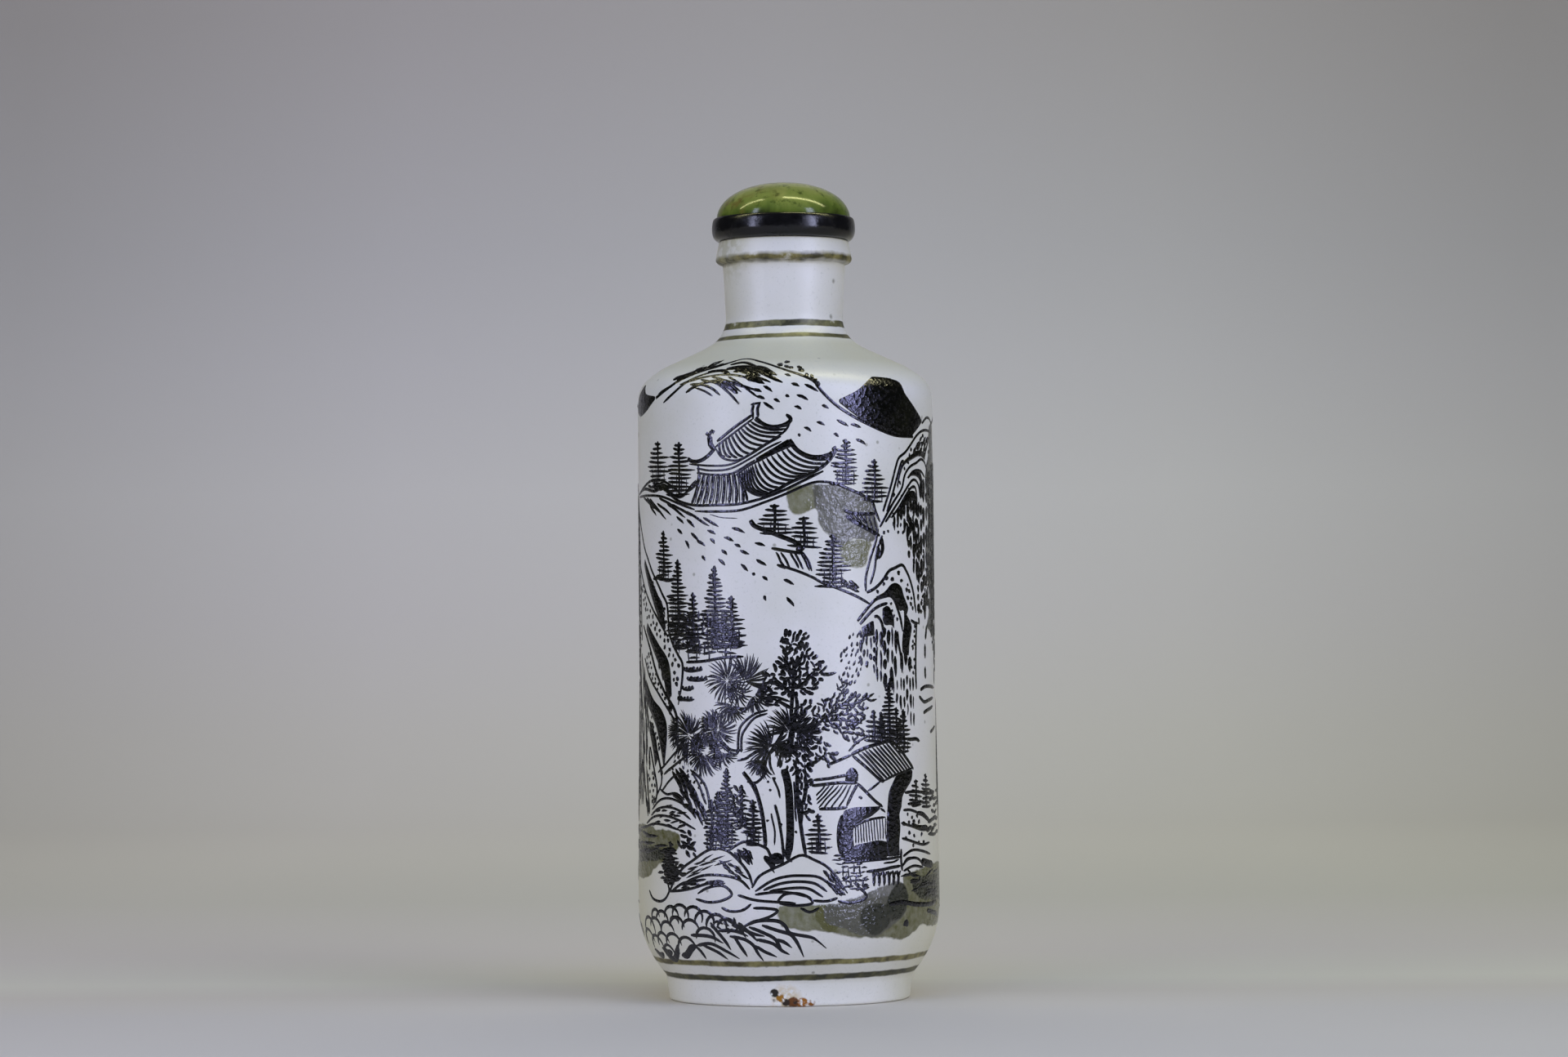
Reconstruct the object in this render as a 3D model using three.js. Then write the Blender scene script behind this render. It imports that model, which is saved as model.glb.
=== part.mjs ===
// A cylindrical porcelain snuff bottle with its stopper, in millimetres, +Z up.
// The origin is the centre of the circle that the foot ring stands on.
// Three separate pieces, all turned about +Z:
//   bottle            hollow porcelain body with foot ring, shoulder, neck and lip
//   stopper_collar    black disc that rests on the lip, with a plug that enters the mouth
//   stopper_cabochon  green dome that sits in a shallow seat on top of the collar
import * as THREE from "three";

// Driving dimensions
const LIP_TOP = 74.4; // height of the bottle without its stopper
const TOTAL_HEIGHT = 80.2; // height with the stopper in place
const BODY_RADIUS = 14.5; // the barrel under the shoulder
const BODY_SWELL = 0.28; // how much wider the barrel is just above the base
const WALL = 2.2; // porcelain thickness of the barrel
const SEGMENTS = 56; // facets around every piece

// Foot ring
const FOOT_RADIUS = 11.8; // outer edge of the ring that meets the table
const FOOT_TOP_RADIUS = 12.12;
const FOOT_HEIGHT = 2.45;
const FOOT_EDGE = 0.35; // rounding of the ring's two lower edges
const FOOT_RING_WIDTH = 1.7;
const RECESS_DEPTH = 1.3; // hollow under the base, inside the ring
const RECESS_COVE = 0.6; // rounding where the ring meets the recessed base

// Barrel
const BARREL_FOOT = 9.5; // height where the turned-in base ends and the barrel begins
const BARREL_WAIST = 34; // height where the swell has died away
const BARREL_TOP = 58.2; // height where the shoulder begins to turn in

// Shoulder and neck
const SHOULDER_RADIUS = 11.9; // end of the rounded shoulder edge
const SHOULDER_HEIGHT = 61.9;
const SLOPE_RADIUS = 8.5; // end of the straight slope towards the neck
const SLOPE_HEIGHT = 63.47;
const NECK_RADIUS = 5.73; // the neck's narrowest place
const NECK_HEIGHT = 66.8;
const NECK_TOP_RADIUS = 6.03; // just under the lip
const LIP_UNDERSIDE = 72.1;
const LIP_RADIUS = 6.42; // at the lip's top edge
const LIP_BEAD_RADIUS = 6.72; // at the lip's lower edge
const LIP_BEAD_HEIGHT = 72.65;
const LIP_EDGE = 0.3; // rounding of the lip's top edges

// Inside
const BORE_RADIUS = 3.2; // the mouth and the hollow of the neck
const BORE_BOTTOM = 66;
const CAVITY_RADIUS = BODY_RADIUS - WALL;
const CAVITY_FLOOR = 3.6;
const CAVITY_FLOOR_RADIUS = 8.4; // the flat middle of the floor
const CAVITY_SHOULDER = 56; // height where the inner shoulder begins
const INNER_SLOPE_RADIUS = 7.57; // the inner slope runs beside the outer one
const INNER_SLOPE_HEIGHT = 61.45;
const INNER_EDGE_RADIUS = 10.2;
const INNER_EDGE_HEIGHT = 60.25;

// Stopper
const COLLAR_RADIUS = 7.07; // at its widest
const COLLAR_WIDEST = 75.6;
const COLLAR_BASE_RADIUS = 6.3; // flat underside that rests on the lip
const COLLAR_TOP = 76.65;
const COLLAR_RIM = 6.8; // inner edge of the rim around the dome
const SEAT_FLOOR = 76.1; // flat seat under the dome
const SEAT_RADIUS = 6.7;
const RIM_EDGE = 0.05; // the broken inner edge of the rim
const CABOCHON_RADIUS = 6.6;
const CABOCHON_FOOT_EDGE = 0.1;
const CABOCHON_WALL_TOP = 76.5; // short upright side of the dome, hidden by the rim
const PLUG_RADIUS = 2.85; // at the collar, clear of the mouth all round
const PLUG_END_RADIUS = 2.6;
const PLUG_LENGTH = 4;
const PLUG_CHAMFER = 0.3;

// The two handles of each curve in the profiles, [radius, height]
const BASE_TURN = [[13.4, 4.0], [14.7, 5.9]];
const BARREL_SWELL = [[14.75, 18], [BODY_RADIUS, 26]];
const SHOULDER_TURN = [[BODY_RADIUS, 60.1], [13.9, 60.65]];
const NECK_FLARE = [[6.8, 64.25], [5.9, 65.0]];
const LIP_STEP = [[6.3, LIP_UNDERSIDE], [LIP_BEAD_RADIUS, 72.25]];
const INNER_FLARE = [[BORE_RADIUS, 63.6], [4.6, 62.8]];
const INNER_SHOULDER = [[11.8, 59.5], [12.25, 58.2]];
const INNER_BASE = [[12.2, 6.6], [10.6, CAVITY_FLOOR]];
const COLLAR_UNDER = [[6.8, LIP_TOP], [COLLAR_RADIUS, 74.9]];
const COLLAR_OVER = [[COLLAR_RADIUS, 76.15], [6.98, 76.6]];

// Steps along each kind of curve
const EDGE_STEPS = 2;
const SMALL_STEPS = 4;
const LARGE_STEPS = 6;
const DOME_STEPS = 9;

/** A solid of revolution about +Z from a profile of [radius, height] points. */
function turned(profile) {
  const points = profile.map(([radius, height]) => new THREE.Vector2(radius, height));
  return new THREE.LatheGeometry(points, SEGMENTS).rotateX(Math.PI / 2);
}

/** Points along a cubic curve between two profile points, without its first point. */
function curve(from, handles, to, steps) {
  const corners = [from, ...handles, to].map((corner) => new THREE.Vector2(...corner));
  const bend = new THREE.CubicBezierCurve(...corners);
  return bend.getPoints(steps).slice(1).map((point) => [point.x, point.y]);
}

/** Points along a small round between two profile points that bulges to the corner. */
function rounded(from, corner, to) {
  const corners = [from, corner, to].map((point) => new THREE.Vector2(...point));
  const bend = new THREE.QuadraticBezierCurve(...corners);
  return bend.getPoints(EDGE_STEPS).map((point) => [point.x, point.y]);
}

/** A finish that is not metal. */
function material(color, roughness) {
  return new THREE.MeshStandardMaterial({ color, roughness, metalness: 0 });
}

/** One named piece turned from its profile. */
function piece(name, profile, finish) {
  const mesh = new THREE.Mesh(turned(profile), finish);
  mesh.name = name;
  return mesh;
}

/** The foot ring, from the middle of the recessed base to the ring's top outer edge. */
function footProfile() {
  const ringInner = FOOT_RADIUS - FOOT_RING_WIDTH;
  return [
    [0, RECESS_DEPTH],
    ...rounded(
      [ringInner - RECESS_COVE, RECESS_DEPTH],
      [ringInner, RECESS_DEPTH],
      [ringInner, RECESS_DEPTH - RECESS_COVE],
    ),
    ...rounded([ringInner, FOOT_EDGE], [ringInner, 0], [ringInner + FOOT_EDGE, 0]),
    ...rounded([FOOT_RADIUS - FOOT_EDGE, 0], [FOOT_RADIUS, 0], [FOOT_RADIUS, FOOT_EDGE]),
    [FOOT_TOP_RADIUS, FOOT_HEIGHT],
  ];
}

/** The turned-in base, the barrel and the shoulder, up to the neck's narrowest place. */
function bodyProfile() {
  const foot = [FOOT_TOP_RADIUS, FOOT_HEIGHT];
  const barrelFoot = [BODY_RADIUS + BODY_SWELL, BARREL_FOOT];
  const waist = [BODY_RADIUS, BARREL_WAIST];
  const barrelTop = [BODY_RADIUS, BARREL_TOP];
  const shoulder = [SHOULDER_RADIUS, SHOULDER_HEIGHT];
  const slope = [SLOPE_RADIUS, SLOPE_HEIGHT];
  const neck = [NECK_RADIUS, NECK_HEIGHT];
  return [
    ...curve(foot, BASE_TURN, barrelFoot, LARGE_STEPS),
    ...curve(barrelFoot, BARREL_SWELL, waist, SMALL_STEPS),
    barrelTop,
    ...curve(barrelTop, SHOULDER_TURN, shoulder, LARGE_STEPS),
    slope,
    ...curve(slope, NECK_FLARE, neck, LARGE_STEPS),
  ];
}

/** The upper neck and the lip, up to the edge of the mouth. */
function lipProfile() {
  const neckTop = [NECK_TOP_RADIUS, LIP_UNDERSIDE];
  const bead = [LIP_BEAD_RADIUS, LIP_BEAD_HEIGHT];
  const roundStart = LIP_TOP - LIP_EDGE;
  return [
    neckTop,
    ...curve(neckTop, LIP_STEP, bead, SMALL_STEPS),
    ...rounded([LIP_RADIUS, roundStart], [LIP_RADIUS, LIP_TOP], [LIP_RADIUS - LIP_EDGE, LIP_TOP]),
    ...rounded([BORE_RADIUS + LIP_EDGE, LIP_TOP], [BORE_RADIUS, LIP_TOP], [BORE_RADIUS, roundStart]),
  ];
}

/** The hollow inside, from the bore down to the middle of the floor. */
function cavityProfile() {
  const boreEnd = [BORE_RADIUS, BORE_BOTTOM];
  const innerSlope = [INNER_SLOPE_RADIUS, INNER_SLOPE_HEIGHT];
  const innerEdge = [INNER_EDGE_RADIUS, INNER_EDGE_HEIGHT];
  const wallTop = [CAVITY_RADIUS, CAVITY_SHOULDER];
  const wallFoot = [CAVITY_RADIUS, BARREL_FOOT];
  const floorEdge = [CAVITY_FLOOR_RADIUS, CAVITY_FLOOR];
  return [
    boreEnd,
    ...curve(boreEnd, INNER_FLARE, innerSlope, SMALL_STEPS),
    innerEdge,
    ...curve(innerEdge, INNER_SHOULDER, wallTop, SMALL_STEPS),
    wallFoot,
    ...curve(wallFoot, INNER_BASE, floorEdge, SMALL_STEPS),
    [0, CAVITY_FLOOR],
  ];
}

/** The porcelain body: outside and inside are one closed profile. */
function bottle() {
  const profile = [...footProfile(), ...bodyProfile(), ...lipProfile(), ...cavityProfile()];
  return piece("bottle", profile, material("#c9cbd2", 0.35));
}

/** A disc with rounded sides on the lip, with a plug below and a dished seat on top. */
function stopperCollar() {
  const plugEnd = LIP_TOP - PLUG_LENGTH;
  const base = [COLLAR_BASE_RADIUS, LIP_TOP];
  const widest = [COLLAR_RADIUS, COLLAR_WIDEST];
  const rim = [COLLAR_RIM, COLLAR_TOP];
  const profile = [
    [0, plugEnd],
    [PLUG_END_RADIUS - PLUG_CHAMFER, plugEnd],
    [PLUG_END_RADIUS, plugEnd + PLUG_CHAMFER],
    [PLUG_RADIUS, LIP_TOP],
    base,
    ...curve(base, COLLAR_UNDER, widest, SMALL_STEPS),
    ...curve(widest, COLLAR_OVER, rim, SMALL_STEPS),
    [SEAT_RADIUS, COLLAR_TOP - RIM_EDGE],
    [SEAT_RADIUS, SEAT_FLOOR],
    [0, SEAT_FLOOR],
  ];
  return piece("stopper_collar", profile, material("#141416", 0.3));
}

/** A low dome, a quarter of an ellipse turned about +Z, on a short upright side. */
function stopperCabochon() {
  const rise = TOTAL_HEIGHT - CABOCHON_WALL_TOP;
  const dome = Array.from({ length: DOME_STEPS + 1 }, (_, step) => {
    const angle = (step / DOME_STEPS) * (Math.PI / 2);
    return [CABOCHON_RADIUS * Math.cos(angle), CABOCHON_WALL_TOP + rise * Math.sin(angle)];
  });
  dome[DOME_STEPS][0] = 0;
  const profile = [[0, SEAT_FLOOR], [CABOCHON_RADIUS - CABOCHON_FOOT_EDGE, SEAT_FLOOR], ...dome];
  return piece("stopper_cabochon", profile, material("#5f7a2e", 0.15));
}

const stopper = new THREE.Group();
stopper.add(stopperCollar(), stopperCabochon());

const snuffBottle = new THREE.Group();
snuffBottle.add(bottle(), stopper);

export default snuffBottle;
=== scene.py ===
import math
import bpy
import numpy as np
from mathutils import Matrix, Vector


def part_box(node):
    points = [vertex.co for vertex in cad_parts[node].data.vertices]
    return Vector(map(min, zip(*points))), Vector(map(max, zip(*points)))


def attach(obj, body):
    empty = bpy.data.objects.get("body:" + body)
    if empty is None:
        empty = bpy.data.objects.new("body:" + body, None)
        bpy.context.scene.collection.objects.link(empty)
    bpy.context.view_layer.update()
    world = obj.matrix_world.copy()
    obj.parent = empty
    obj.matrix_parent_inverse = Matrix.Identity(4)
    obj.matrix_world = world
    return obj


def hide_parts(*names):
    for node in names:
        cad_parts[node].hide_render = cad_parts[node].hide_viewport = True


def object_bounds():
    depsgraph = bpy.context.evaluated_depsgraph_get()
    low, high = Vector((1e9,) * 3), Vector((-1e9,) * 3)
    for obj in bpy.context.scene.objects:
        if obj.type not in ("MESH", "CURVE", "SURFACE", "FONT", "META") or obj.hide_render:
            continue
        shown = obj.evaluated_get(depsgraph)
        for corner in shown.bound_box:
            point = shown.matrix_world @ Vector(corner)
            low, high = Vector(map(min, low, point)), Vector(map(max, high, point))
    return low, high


# A cylindrical porcelain snuff bottle, painted all round with a black and grey landscape in
# raised enamel, and its stopper. Everything is in metres in the part's own frame: +Z runs up
# the bottle's axis, the painted front faces -Y, and the foot stands on z = 0.
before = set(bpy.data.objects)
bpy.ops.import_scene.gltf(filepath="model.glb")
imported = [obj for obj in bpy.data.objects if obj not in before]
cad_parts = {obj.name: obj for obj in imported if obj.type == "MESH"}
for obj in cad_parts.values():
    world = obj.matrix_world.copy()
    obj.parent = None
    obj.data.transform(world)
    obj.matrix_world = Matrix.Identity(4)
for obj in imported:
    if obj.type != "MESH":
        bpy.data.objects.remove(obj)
cad_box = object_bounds()
bpy.context.scene.view_settings.view_transform = "Standard"


# --- Camera ----------------------------------------------------------------------------------
# A 100 mm lens a little over 40 cm from the axis, level with the lower third of the bottle and
# looking up by under two degrees, with the slight roll of a stand that was set by hand.
LENS_LENGTH = 100  # millimetres, before a frame 36 mm wide
FRAME_WIDTH = 36
VIEW_DISTANCE = 0.429
VIEW_HEIGHT = 0.0332
VIEW_SIDE = -0.0002
VIEW_PITCH = math.radians(1.72)
VIEW_ROLL = math.radians(-0.49)

camera_data = bpy.data.cameras.new("camera")
camera_data.lens = LENS_LENGTH
camera_data.sensor_width = FRAME_WIDTH
camera = bpy.data.objects.new("camera", camera_data)
camera.matrix_world = (
    Matrix.Translation((VIEW_SIDE, -VIEW_DISTANCE, VIEW_HEIGHT))
    @ Matrix.Rotation(math.pi / 2 + VIEW_PITCH, 4, "X")
    @ Matrix.Rotation(VIEW_ROLL, 4, "Z")
)
bpy.context.scene.collection.objects.link(camera)
bpy.context.scene.camera = camera


# --- Floor and backdrop ----------------------------------------------------------------------
# A sheet of pale card that lies flat under the bottle and sweeps up behind it. It is only the
# place where the bottle stands.
MM = 0.001
SWEEP_START = 0.42  # where the card leaves the table, behind the axis
SWEEP_RADIUS = 0.2
CARD_HALF_WIDTH = 0.62
CARD_FRONT = -0.7
CARD_TOP = 1.1
CARD_SINK = 0.01 * MM  # how far the card lies under the foot
# Where its tones and painted shade begin and end, as depth and height together, and how far its painted
# shade at the sides reaches.
TONES_START, TONES_END = -0.07, 0.82
SIDE_SHADE_REACH = 0.18
# Tones of the card from its front to its top, darkening upwards as painted shade: the part of the way
# along, and the colour.
CARD_TONES_AND_SHADE = (
    (0.014, "#d2cdc3"), (0.058, "#cdc8be"), (0.086, "#cec7b7"), (0.105, "#d7d3bf"), (0.154, "#cfc8bb"),
    (0.278, "#c0bdae"), (0.581, "#b3b1aa"), (0.661, "#b3b1ac"), (0.74, "#b3b1b1"), (0.804, "#b4b3b4"),
    (0.861, "#adacaf"), (0.91, "#a5a4a7"), (0.954, "#a09ea0"), (0.988, "#9c999a"),
)


def linear(colour):
    """An sRGB hex colour as linear RGBA: the sRGB curve, undone on each channel."""
    channels = np.array([int(colour[i:i + 2], 16) for i in (1, 3, 5)]) / 255
    curved = np.where(channels <= 0.04045, channels / 12.92, ((channels + 0.055) / 1.055) ** 2.4)
    return (*curved.tolist(), 1.0)


def node(tree, kind, inputs=(), stops=(), **settings):
    """Adds one node. Its inputs, in order or by name, are numbers, colours, or what to link to
    them: a socket, or a node for its first output. Stops are a ramp's (place, colour) pairs, and
    settings are the node's own."""
    made = tree.nodes.new("ShaderNode" + kind)
    for name, value in settings.items():
        setattr(made, name, value)
    for name, value in inputs.items() if isinstance(inputs, dict) else enumerate(inputs):
        if isinstance(value, bpy.types.Node):
            value = value.outputs[0]
        if isinstance(value, bpy.types.NodeSocket):
            tree.links.new(value, made.inputs[name])
        else:
            made.inputs[name].default_value = linear(value) if isinstance(value, str) else value
    if stops:
        elements = made.color_ramp.elements
        elements.remove(elements[1])
        elements[0].position = stops[0][0]
        for place, colour in stops[1:]:
            elements.new(place)
        for element, (place, colour) in zip(elements, stops):
            element.color = linear(colour)
    return made


def blank_material(name):
    """A material with only its output node, and its node tree."""
    material = bpy.data.materials.new(name)
    material.use_nodes = True
    tree = material.node_tree
    tree.nodes.clear()
    return material, tree, tree.nodes.new("ShaderNodeOutputMaterial")


def grid_faces(rows, columns, around=False):
    """Quads of a grid of points stored row by row, its rows closed into rings where asked."""
    r = np.arange(rows - 1)[:, None]
    c = np.arange(columns if around else columns - 1)[None, :]
    next_c = (c + 1) % columns
    here, above = r * columns, (r + 1) * columns
    corners = [here + c, here + next_c, above + next_c, above + c]
    return np.stack(corners, -1).reshape(-1, 4)


def mesh_object(name, points, faces, material):
    """A smooth-shaded object from points in metres and arrays of faces, with one material."""
    corners = np.concatenate([face.ravel() for face in faces])
    sizes = np.concatenate([np.full(len(face), face.shape[1]) for face in faces])
    mesh = bpy.data.meshes.new(name)
    mesh.vertices.add(len(points))
    mesh.vertices.foreach_set("co", points.astype(np.float32).ravel())
    mesh.loops.add(len(corners))
    mesh.loops.foreach_set("vertex_index", corners.astype(np.int32))
    mesh.polygons.add(len(sizes))
    mesh.polygons.foreach_set("loop_start", (np.cumsum(sizes) - sizes).astype(np.int32))
    mesh.update(calc_edges=True)
    mesh.shade_smooth()
    mesh.materials.append(material)
    made = bpy.data.objects.new(name, mesh)
    bpy.context.scene.collection.objects.link(made)
    return made


def card_material():
    """Matt card: lavender grey in front, warmer where it begins to rise, and darker to its top and its
    sides, which is painted shade where the light falls off. The tone follows the way along the card, which
    is the depth and height together."""
    material, tree, output = blank_material("matt_grey_card_painted_shade")
    place = node(tree, "TexCoord").outputs["Object"]
    parts = node(tree, "SeparateXYZ", [place]).outputs
    along = node(tree, "Math", [parts["Y"], parts["Z"]])
    along = node(tree, "MapRange", [along, TONES_START, TONES_END])
    across = node(tree, "MapRange", [parts["X"], -SIDE_SHADE_REACH, SIDE_SHADE_REACH])
    # Painted shade: darker towards the card's top along the way, and darker towards its left and right
    # edges across it.
    tone = node(tree, "ValToRGB", [along], CARD_TONES_AND_SHADE)
    side = node(tree, "ValToRGB", [across], [
        (0.0, "#e5e3e3"), (0.25, "#f9f7fa"), (0.5, "#ffffff"), (0.75, "#f8f8f3"), (1.0, "#e3e2dc"),
    ])
    tone_and_painted_shade = node(tree, "Mix", {"Factor": 1.0, 6: tone, 7: side}, data_type="RGBA", blend_type="MULTIPLY")
    shader = node(tree, "BsdfPrincipled", {"Base Color": tone_and_painted_shade.outputs[2], "Roughness": 0.9})
    tree.links.new(shader.outputs["BSDF"], output.inputs["Surface"])
    return material


turn = np.linspace(0, math.pi / 2, 24)
card_y = np.concatenate([
    [CARD_FRONT], SWEEP_START + SWEEP_RADIUS * np.sin(turn), [SWEEP_START + SWEEP_RADIUS],
])
card_z = np.concatenate([[0], SWEEP_RADIUS * (1 - np.cos(turn)), [CARD_TOP]])
card_x = np.array([-CARD_HALF_WIDTH, CARD_HALF_WIDTH])
card_points = np.stack([
    np.broadcast_to(card_x[None, :], (len(card_y), 2)),
    np.broadcast_to(card_y[:, None], (len(card_y), 2)),
    np.broadcast_to(card_z[:, None] - CARD_SINK, (len(card_y), 2)),
], -1)
card = mesh_object("card", card_points.reshape(-1, 3), [grid_faces(len(card_y), 2)], card_material())


# --- Lights ----------------------------------------------------------------------------------
# Soft boxes on the left and the right in front of the bottle, a blue one high in front of it like
# the sky in a window and one behind it, two slender lamps and two strips overhead that only show
# as glints, a light for the card, and a dim room with pale walls far off.
ROOM_STRENGTH = 0.03
WALLS_STRENGTH = 0.36  # what the eye sees past the card, on top of the room's own light
middle_height = (cad_box[0][2] + cad_box[1][2]) / 2


def lamp(name, place, width, depth, watts, colour, shows):
    """A rectangular light at a place. It lights the surfaces and stays out of their shine, or
    shows in the shine alone."""
    light = bpy.data.lights.new(name, "AREA")
    light.shape = "RECTANGLE"
    light.size = width
    light.size_y = depth
    light.energy = watts
    light.color = linear(colour)[:3]
    made = bpy.data.objects.new(name, light)
    made.matrix_world = place
    made.visible_glossy = shows == "glint"
    made.visible_diffuse = shows == "light"
    bpy.context.scene.collection.objects.link(made)


# Lights that face the middle of the bottle: degrees around its axis from straight ahead and up
# from level, distance, width, height, watts and colour.
for name, around, up, reach, width, depth, watts, colour, shows in (
    ("left_box", -51, 22, 0.62, 0.56, 0.52, 1.42, "#fffff2", "light"),
    ("right_box", 53, 22, 0.62, 0.48, 0.52, 1.62, "#fffff0", "light"),
    ("front_box", 10, 50, 0.75, 0.90, 0.55, 3.8, "#afc3ff", "light"),
    ("left_glint", -50, 14, 0.62, 0.09, 0.42, 1.3, "#d4d8ff", "glint"),
    ("right_glint", 48, 14, 0.62, 0.13, 0.42, 2.1, "#d4d8ff", "glint"),
    ("back_box", 180, 38, 0.62, 0.8, 0.4, 1.0, "#fffff5", "light"),
):
    lamp(name, (
        Matrix.Translation((0, 0, middle_height))
        @ Matrix.Rotation(math.radians(around), 4, "Z")
        @ Matrix.Rotation(-math.radians(up), 4, "X")
        @ Matrix.Translation((0, -reach, 0))
        @ Matrix.Rotation(math.pi / 2, 4, "X")
    ), width, depth, watts, colour, shows)
# Lights that hang level or tilted towards the card: middle, tilt in degrees, and the same.
for name, middle, tilt, width, depth, watts, colour, shows in (
    ("left_strip", (-0.72, -0.08, 0.68), 0, 0.95, 0.06, 3.4, "#fffbb8", "glint"),
    ("right_strip", (0.45, -0.08, 0.68), 0, 0.9, 0.07, 4.8, "#fffbb8", "glint"),
    ("card_light", (0.0, 0.36, 0.46), 50, 0.9, 0.2, 1.3, "#fffffa", "light"),
):
    place = Matrix.Translation(middle) @ Matrix.Rotation(math.radians(tilt), 4, "X")
    lamp(name, place, width, depth, watts, colour, shows)

room = bpy.data.worlds.new("room")
room.use_nodes = True
room.node_tree.nodes["Background"].inputs["Color"].default_value = linear("#f6f4f2")
seen = node(room.node_tree, "LightPath").outputs["Is Camera Ray"]
strength = node(room.node_tree, "Math", {0: seen, 1: WALLS_STRENGTH, 2: ROOM_STRENGTH},
                operation="MULTIPLY_ADD")
room.node_tree.links.new(strength.outputs[0], room.node_tree.nodes["Background"].inputs["Strength"])
bpy.context.scene.world = room


# --- Porcelain bottle ------------------------------------------------------------------------
# One hollow body of porcelain, thrown and turned: foot ring, turned-in base, straight barrel,
# tight shoulder, short neck and a beaded lip. Its white glaze is a little matt and grained.
# The sizes are those of the solid it stands for, in millimetres.
bottle_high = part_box("bottle")[1]
LIP_TOP = bottle_high[2] / MM
SWELL_RADIUS = bottle_high[0] / MM  # the widest place, just above the base
BARREL_RADIUS = SWELL_RADIUS - 0.28
TURN_SEGMENTS = 320
# Where the outside goes from one curve to the next, as radius and height, from the foot up.
FOOT_SIDE = (11.8, 0.35)
FOOT_TOP = (12.12, 2.45)
SWELL = (SWELL_RADIUS, 9.5)
BARREL_FOOT = (BARREL_RADIUS, 34)
BARREL_TOP = (BARREL_RADIUS, 58.2)
SHOULDER = (11.9, 61.9)
NECK_FOOT = (8.5, 63.47)
NECK_WAIST = (5.73, 66.8)
NECK_TOP = (6.03, 72.1)
LIP_BEAD = (6.72, 72.65)
LIP_EDGE = (6.42, LIP_TOP - 0.3)
# The same for the inside, from the mouth down.
MOUTH = (3.2, LIP_TOP - 0.3)
BORE_FOOT = (3.2, 66)
INSIDE_SHOULDER = (10.2, 60.25)
INSIDE_SIDE = (12.3, 9.5)
FLOOR_HEIGHT = 3.6  # of the hollow
BASE_HEIGHT = 1.3  # of the base within the foot ring


def curve(start, handles, end, steps):
    """Points of a cubic Bezier curve between two profile points, without its first point."""
    t = np.linspace(0, 1, steps + 1)[1:, None]
    a, b, c, d = (np.array(point, float) for point in (start, *handles, end))
    return (1 - t) ** 3 * a + 3 * (1 - t) ** 2 * t * b + 3 * (1 - t) * t ** 2 * c + t ** 3 * d


def rounded(start, corner, end):
    """Points of a small round from one profile point to another, bulging to the corner."""
    t = np.linspace(0, 1, 5)[:, None]
    a, b, c = (np.array(point, float) for point in (start, corner, end))
    return (1 - t) ** 2 * a + 2 * (1 - t) * t * b + t ** 2 * c


def straight(start, end, steps):
    """Points of a straight line between two profile points, without its first point."""
    t = np.linspace(0, 1, steps + 1)[1:, None]
    return (1 - t) * np.array(start, float) + t * np.array(end, float)


foot_outside = np.concatenate([
    rounded((11.45, 0), (11.8, 0), FOOT_SIDE),
    straight(FOOT_SIDE, FOOT_TOP, 6),
])
body_outside = np.concatenate([
    curve(FOOT_TOP, [(13.4, 4.0), (14.7, 5.9)], SWELL, 18),
    curve(SWELL, [(14.75, 18), (BARREL_RADIUS, 26)], BARREL_FOOT, 58),
    straight(BARREL_FOOT, BARREL_TOP, 60),
    curve(BARREL_TOP, [(BARREL_RADIUS, 60.1), (13.9, 60.65)], SHOULDER, 16),
    straight(SHOULDER, NECK_FOOT, 8),
    curve(NECK_FOOT, [(6.8, 64.25), (5.9, 65.0)], NECK_WAIST, 14),
    straight(NECK_WAIST, NECK_TOP, 12),
    curve(NECK_TOP, [(6.3, 72.1), (6.72, 72.25)], LIP_BEAD, 6),
    straight(LIP_BEAD, LIP_EDGE, 5),
    rounded(LIP_EDGE, (6.42, LIP_TOP), (6.12, LIP_TOP))[1:],
])
outside = np.concatenate([foot_outside, body_outside])
bottle_inside = np.concatenate([
    rounded((3.5, LIP_TOP), (3.2, LIP_TOP), MOUTH),
    [BORE_FOOT],
    curve(BORE_FOOT, [(3.2, 63.6), (4.6, 62.8)], (7.57, 61.45), 6),
    [INSIDE_SHOULDER],
    curve(INSIDE_SHOULDER, [(11.8, 59.5), (12.25, 58.2)], (12.3, 56), 6),
    [INSIDE_SIDE],
    curve(INSIDE_SIDE, [(12.2, 6.6), (10.6, FLOOR_HEIGHT)], (8.4, FLOOR_HEIGHT), 6),
])
under_foot = np.concatenate([
    rounded((9.5, BASE_HEIGHT), (10.1, BASE_HEIGHT), (10.1, 0.7)),
    rounded((10.1, 0.35), (10.1, 0), (10.45, 0)),
])


def turned(profile, segments):
    """A closed solid of revolution: the profile turned about +Z, with a single point at each pole."""
    angle = np.linspace(0, 2 * math.pi, segments, endpoint=False)
    radius, height = profile[1:-1, 0:1], profile[1:-1, 1:2]
    rings = np.stack([
        radius * np.sin(angle),
        radius * np.cos(angle),
        np.broadcast_to(height, (len(radius), segments)),
    ], -1).reshape(-1, 3)
    poles = np.array([[0, 0, profile[0, 1]], [0, 0, profile[-1, 1]]])
    count = len(profile) - 2
    first, last = count * segments, count * segments + 1
    here = np.arange(segments)
    ahead = (here + 1) % segments
    low_fan = np.stack([np.full(segments, first), here, ahead], -1)
    top = (count - 1) * segments
    high_fan = np.stack([np.full(segments, last), top + ahead, top + here], -1)
    sides = grid_faces(count, segments, around=True)[:, ::-1]
    return np.concatenate([rings, poles]) * MM, [sides, low_fan, high_fan]


profile = np.concatenate([[(0, BASE_HEIGHT)], under_foot, outside, bottle_inside, [(0, FLOOR_HEIGHT)]])
bottle_points, bottle_faces = turned(profile, TURN_SEGMENTS)


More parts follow.
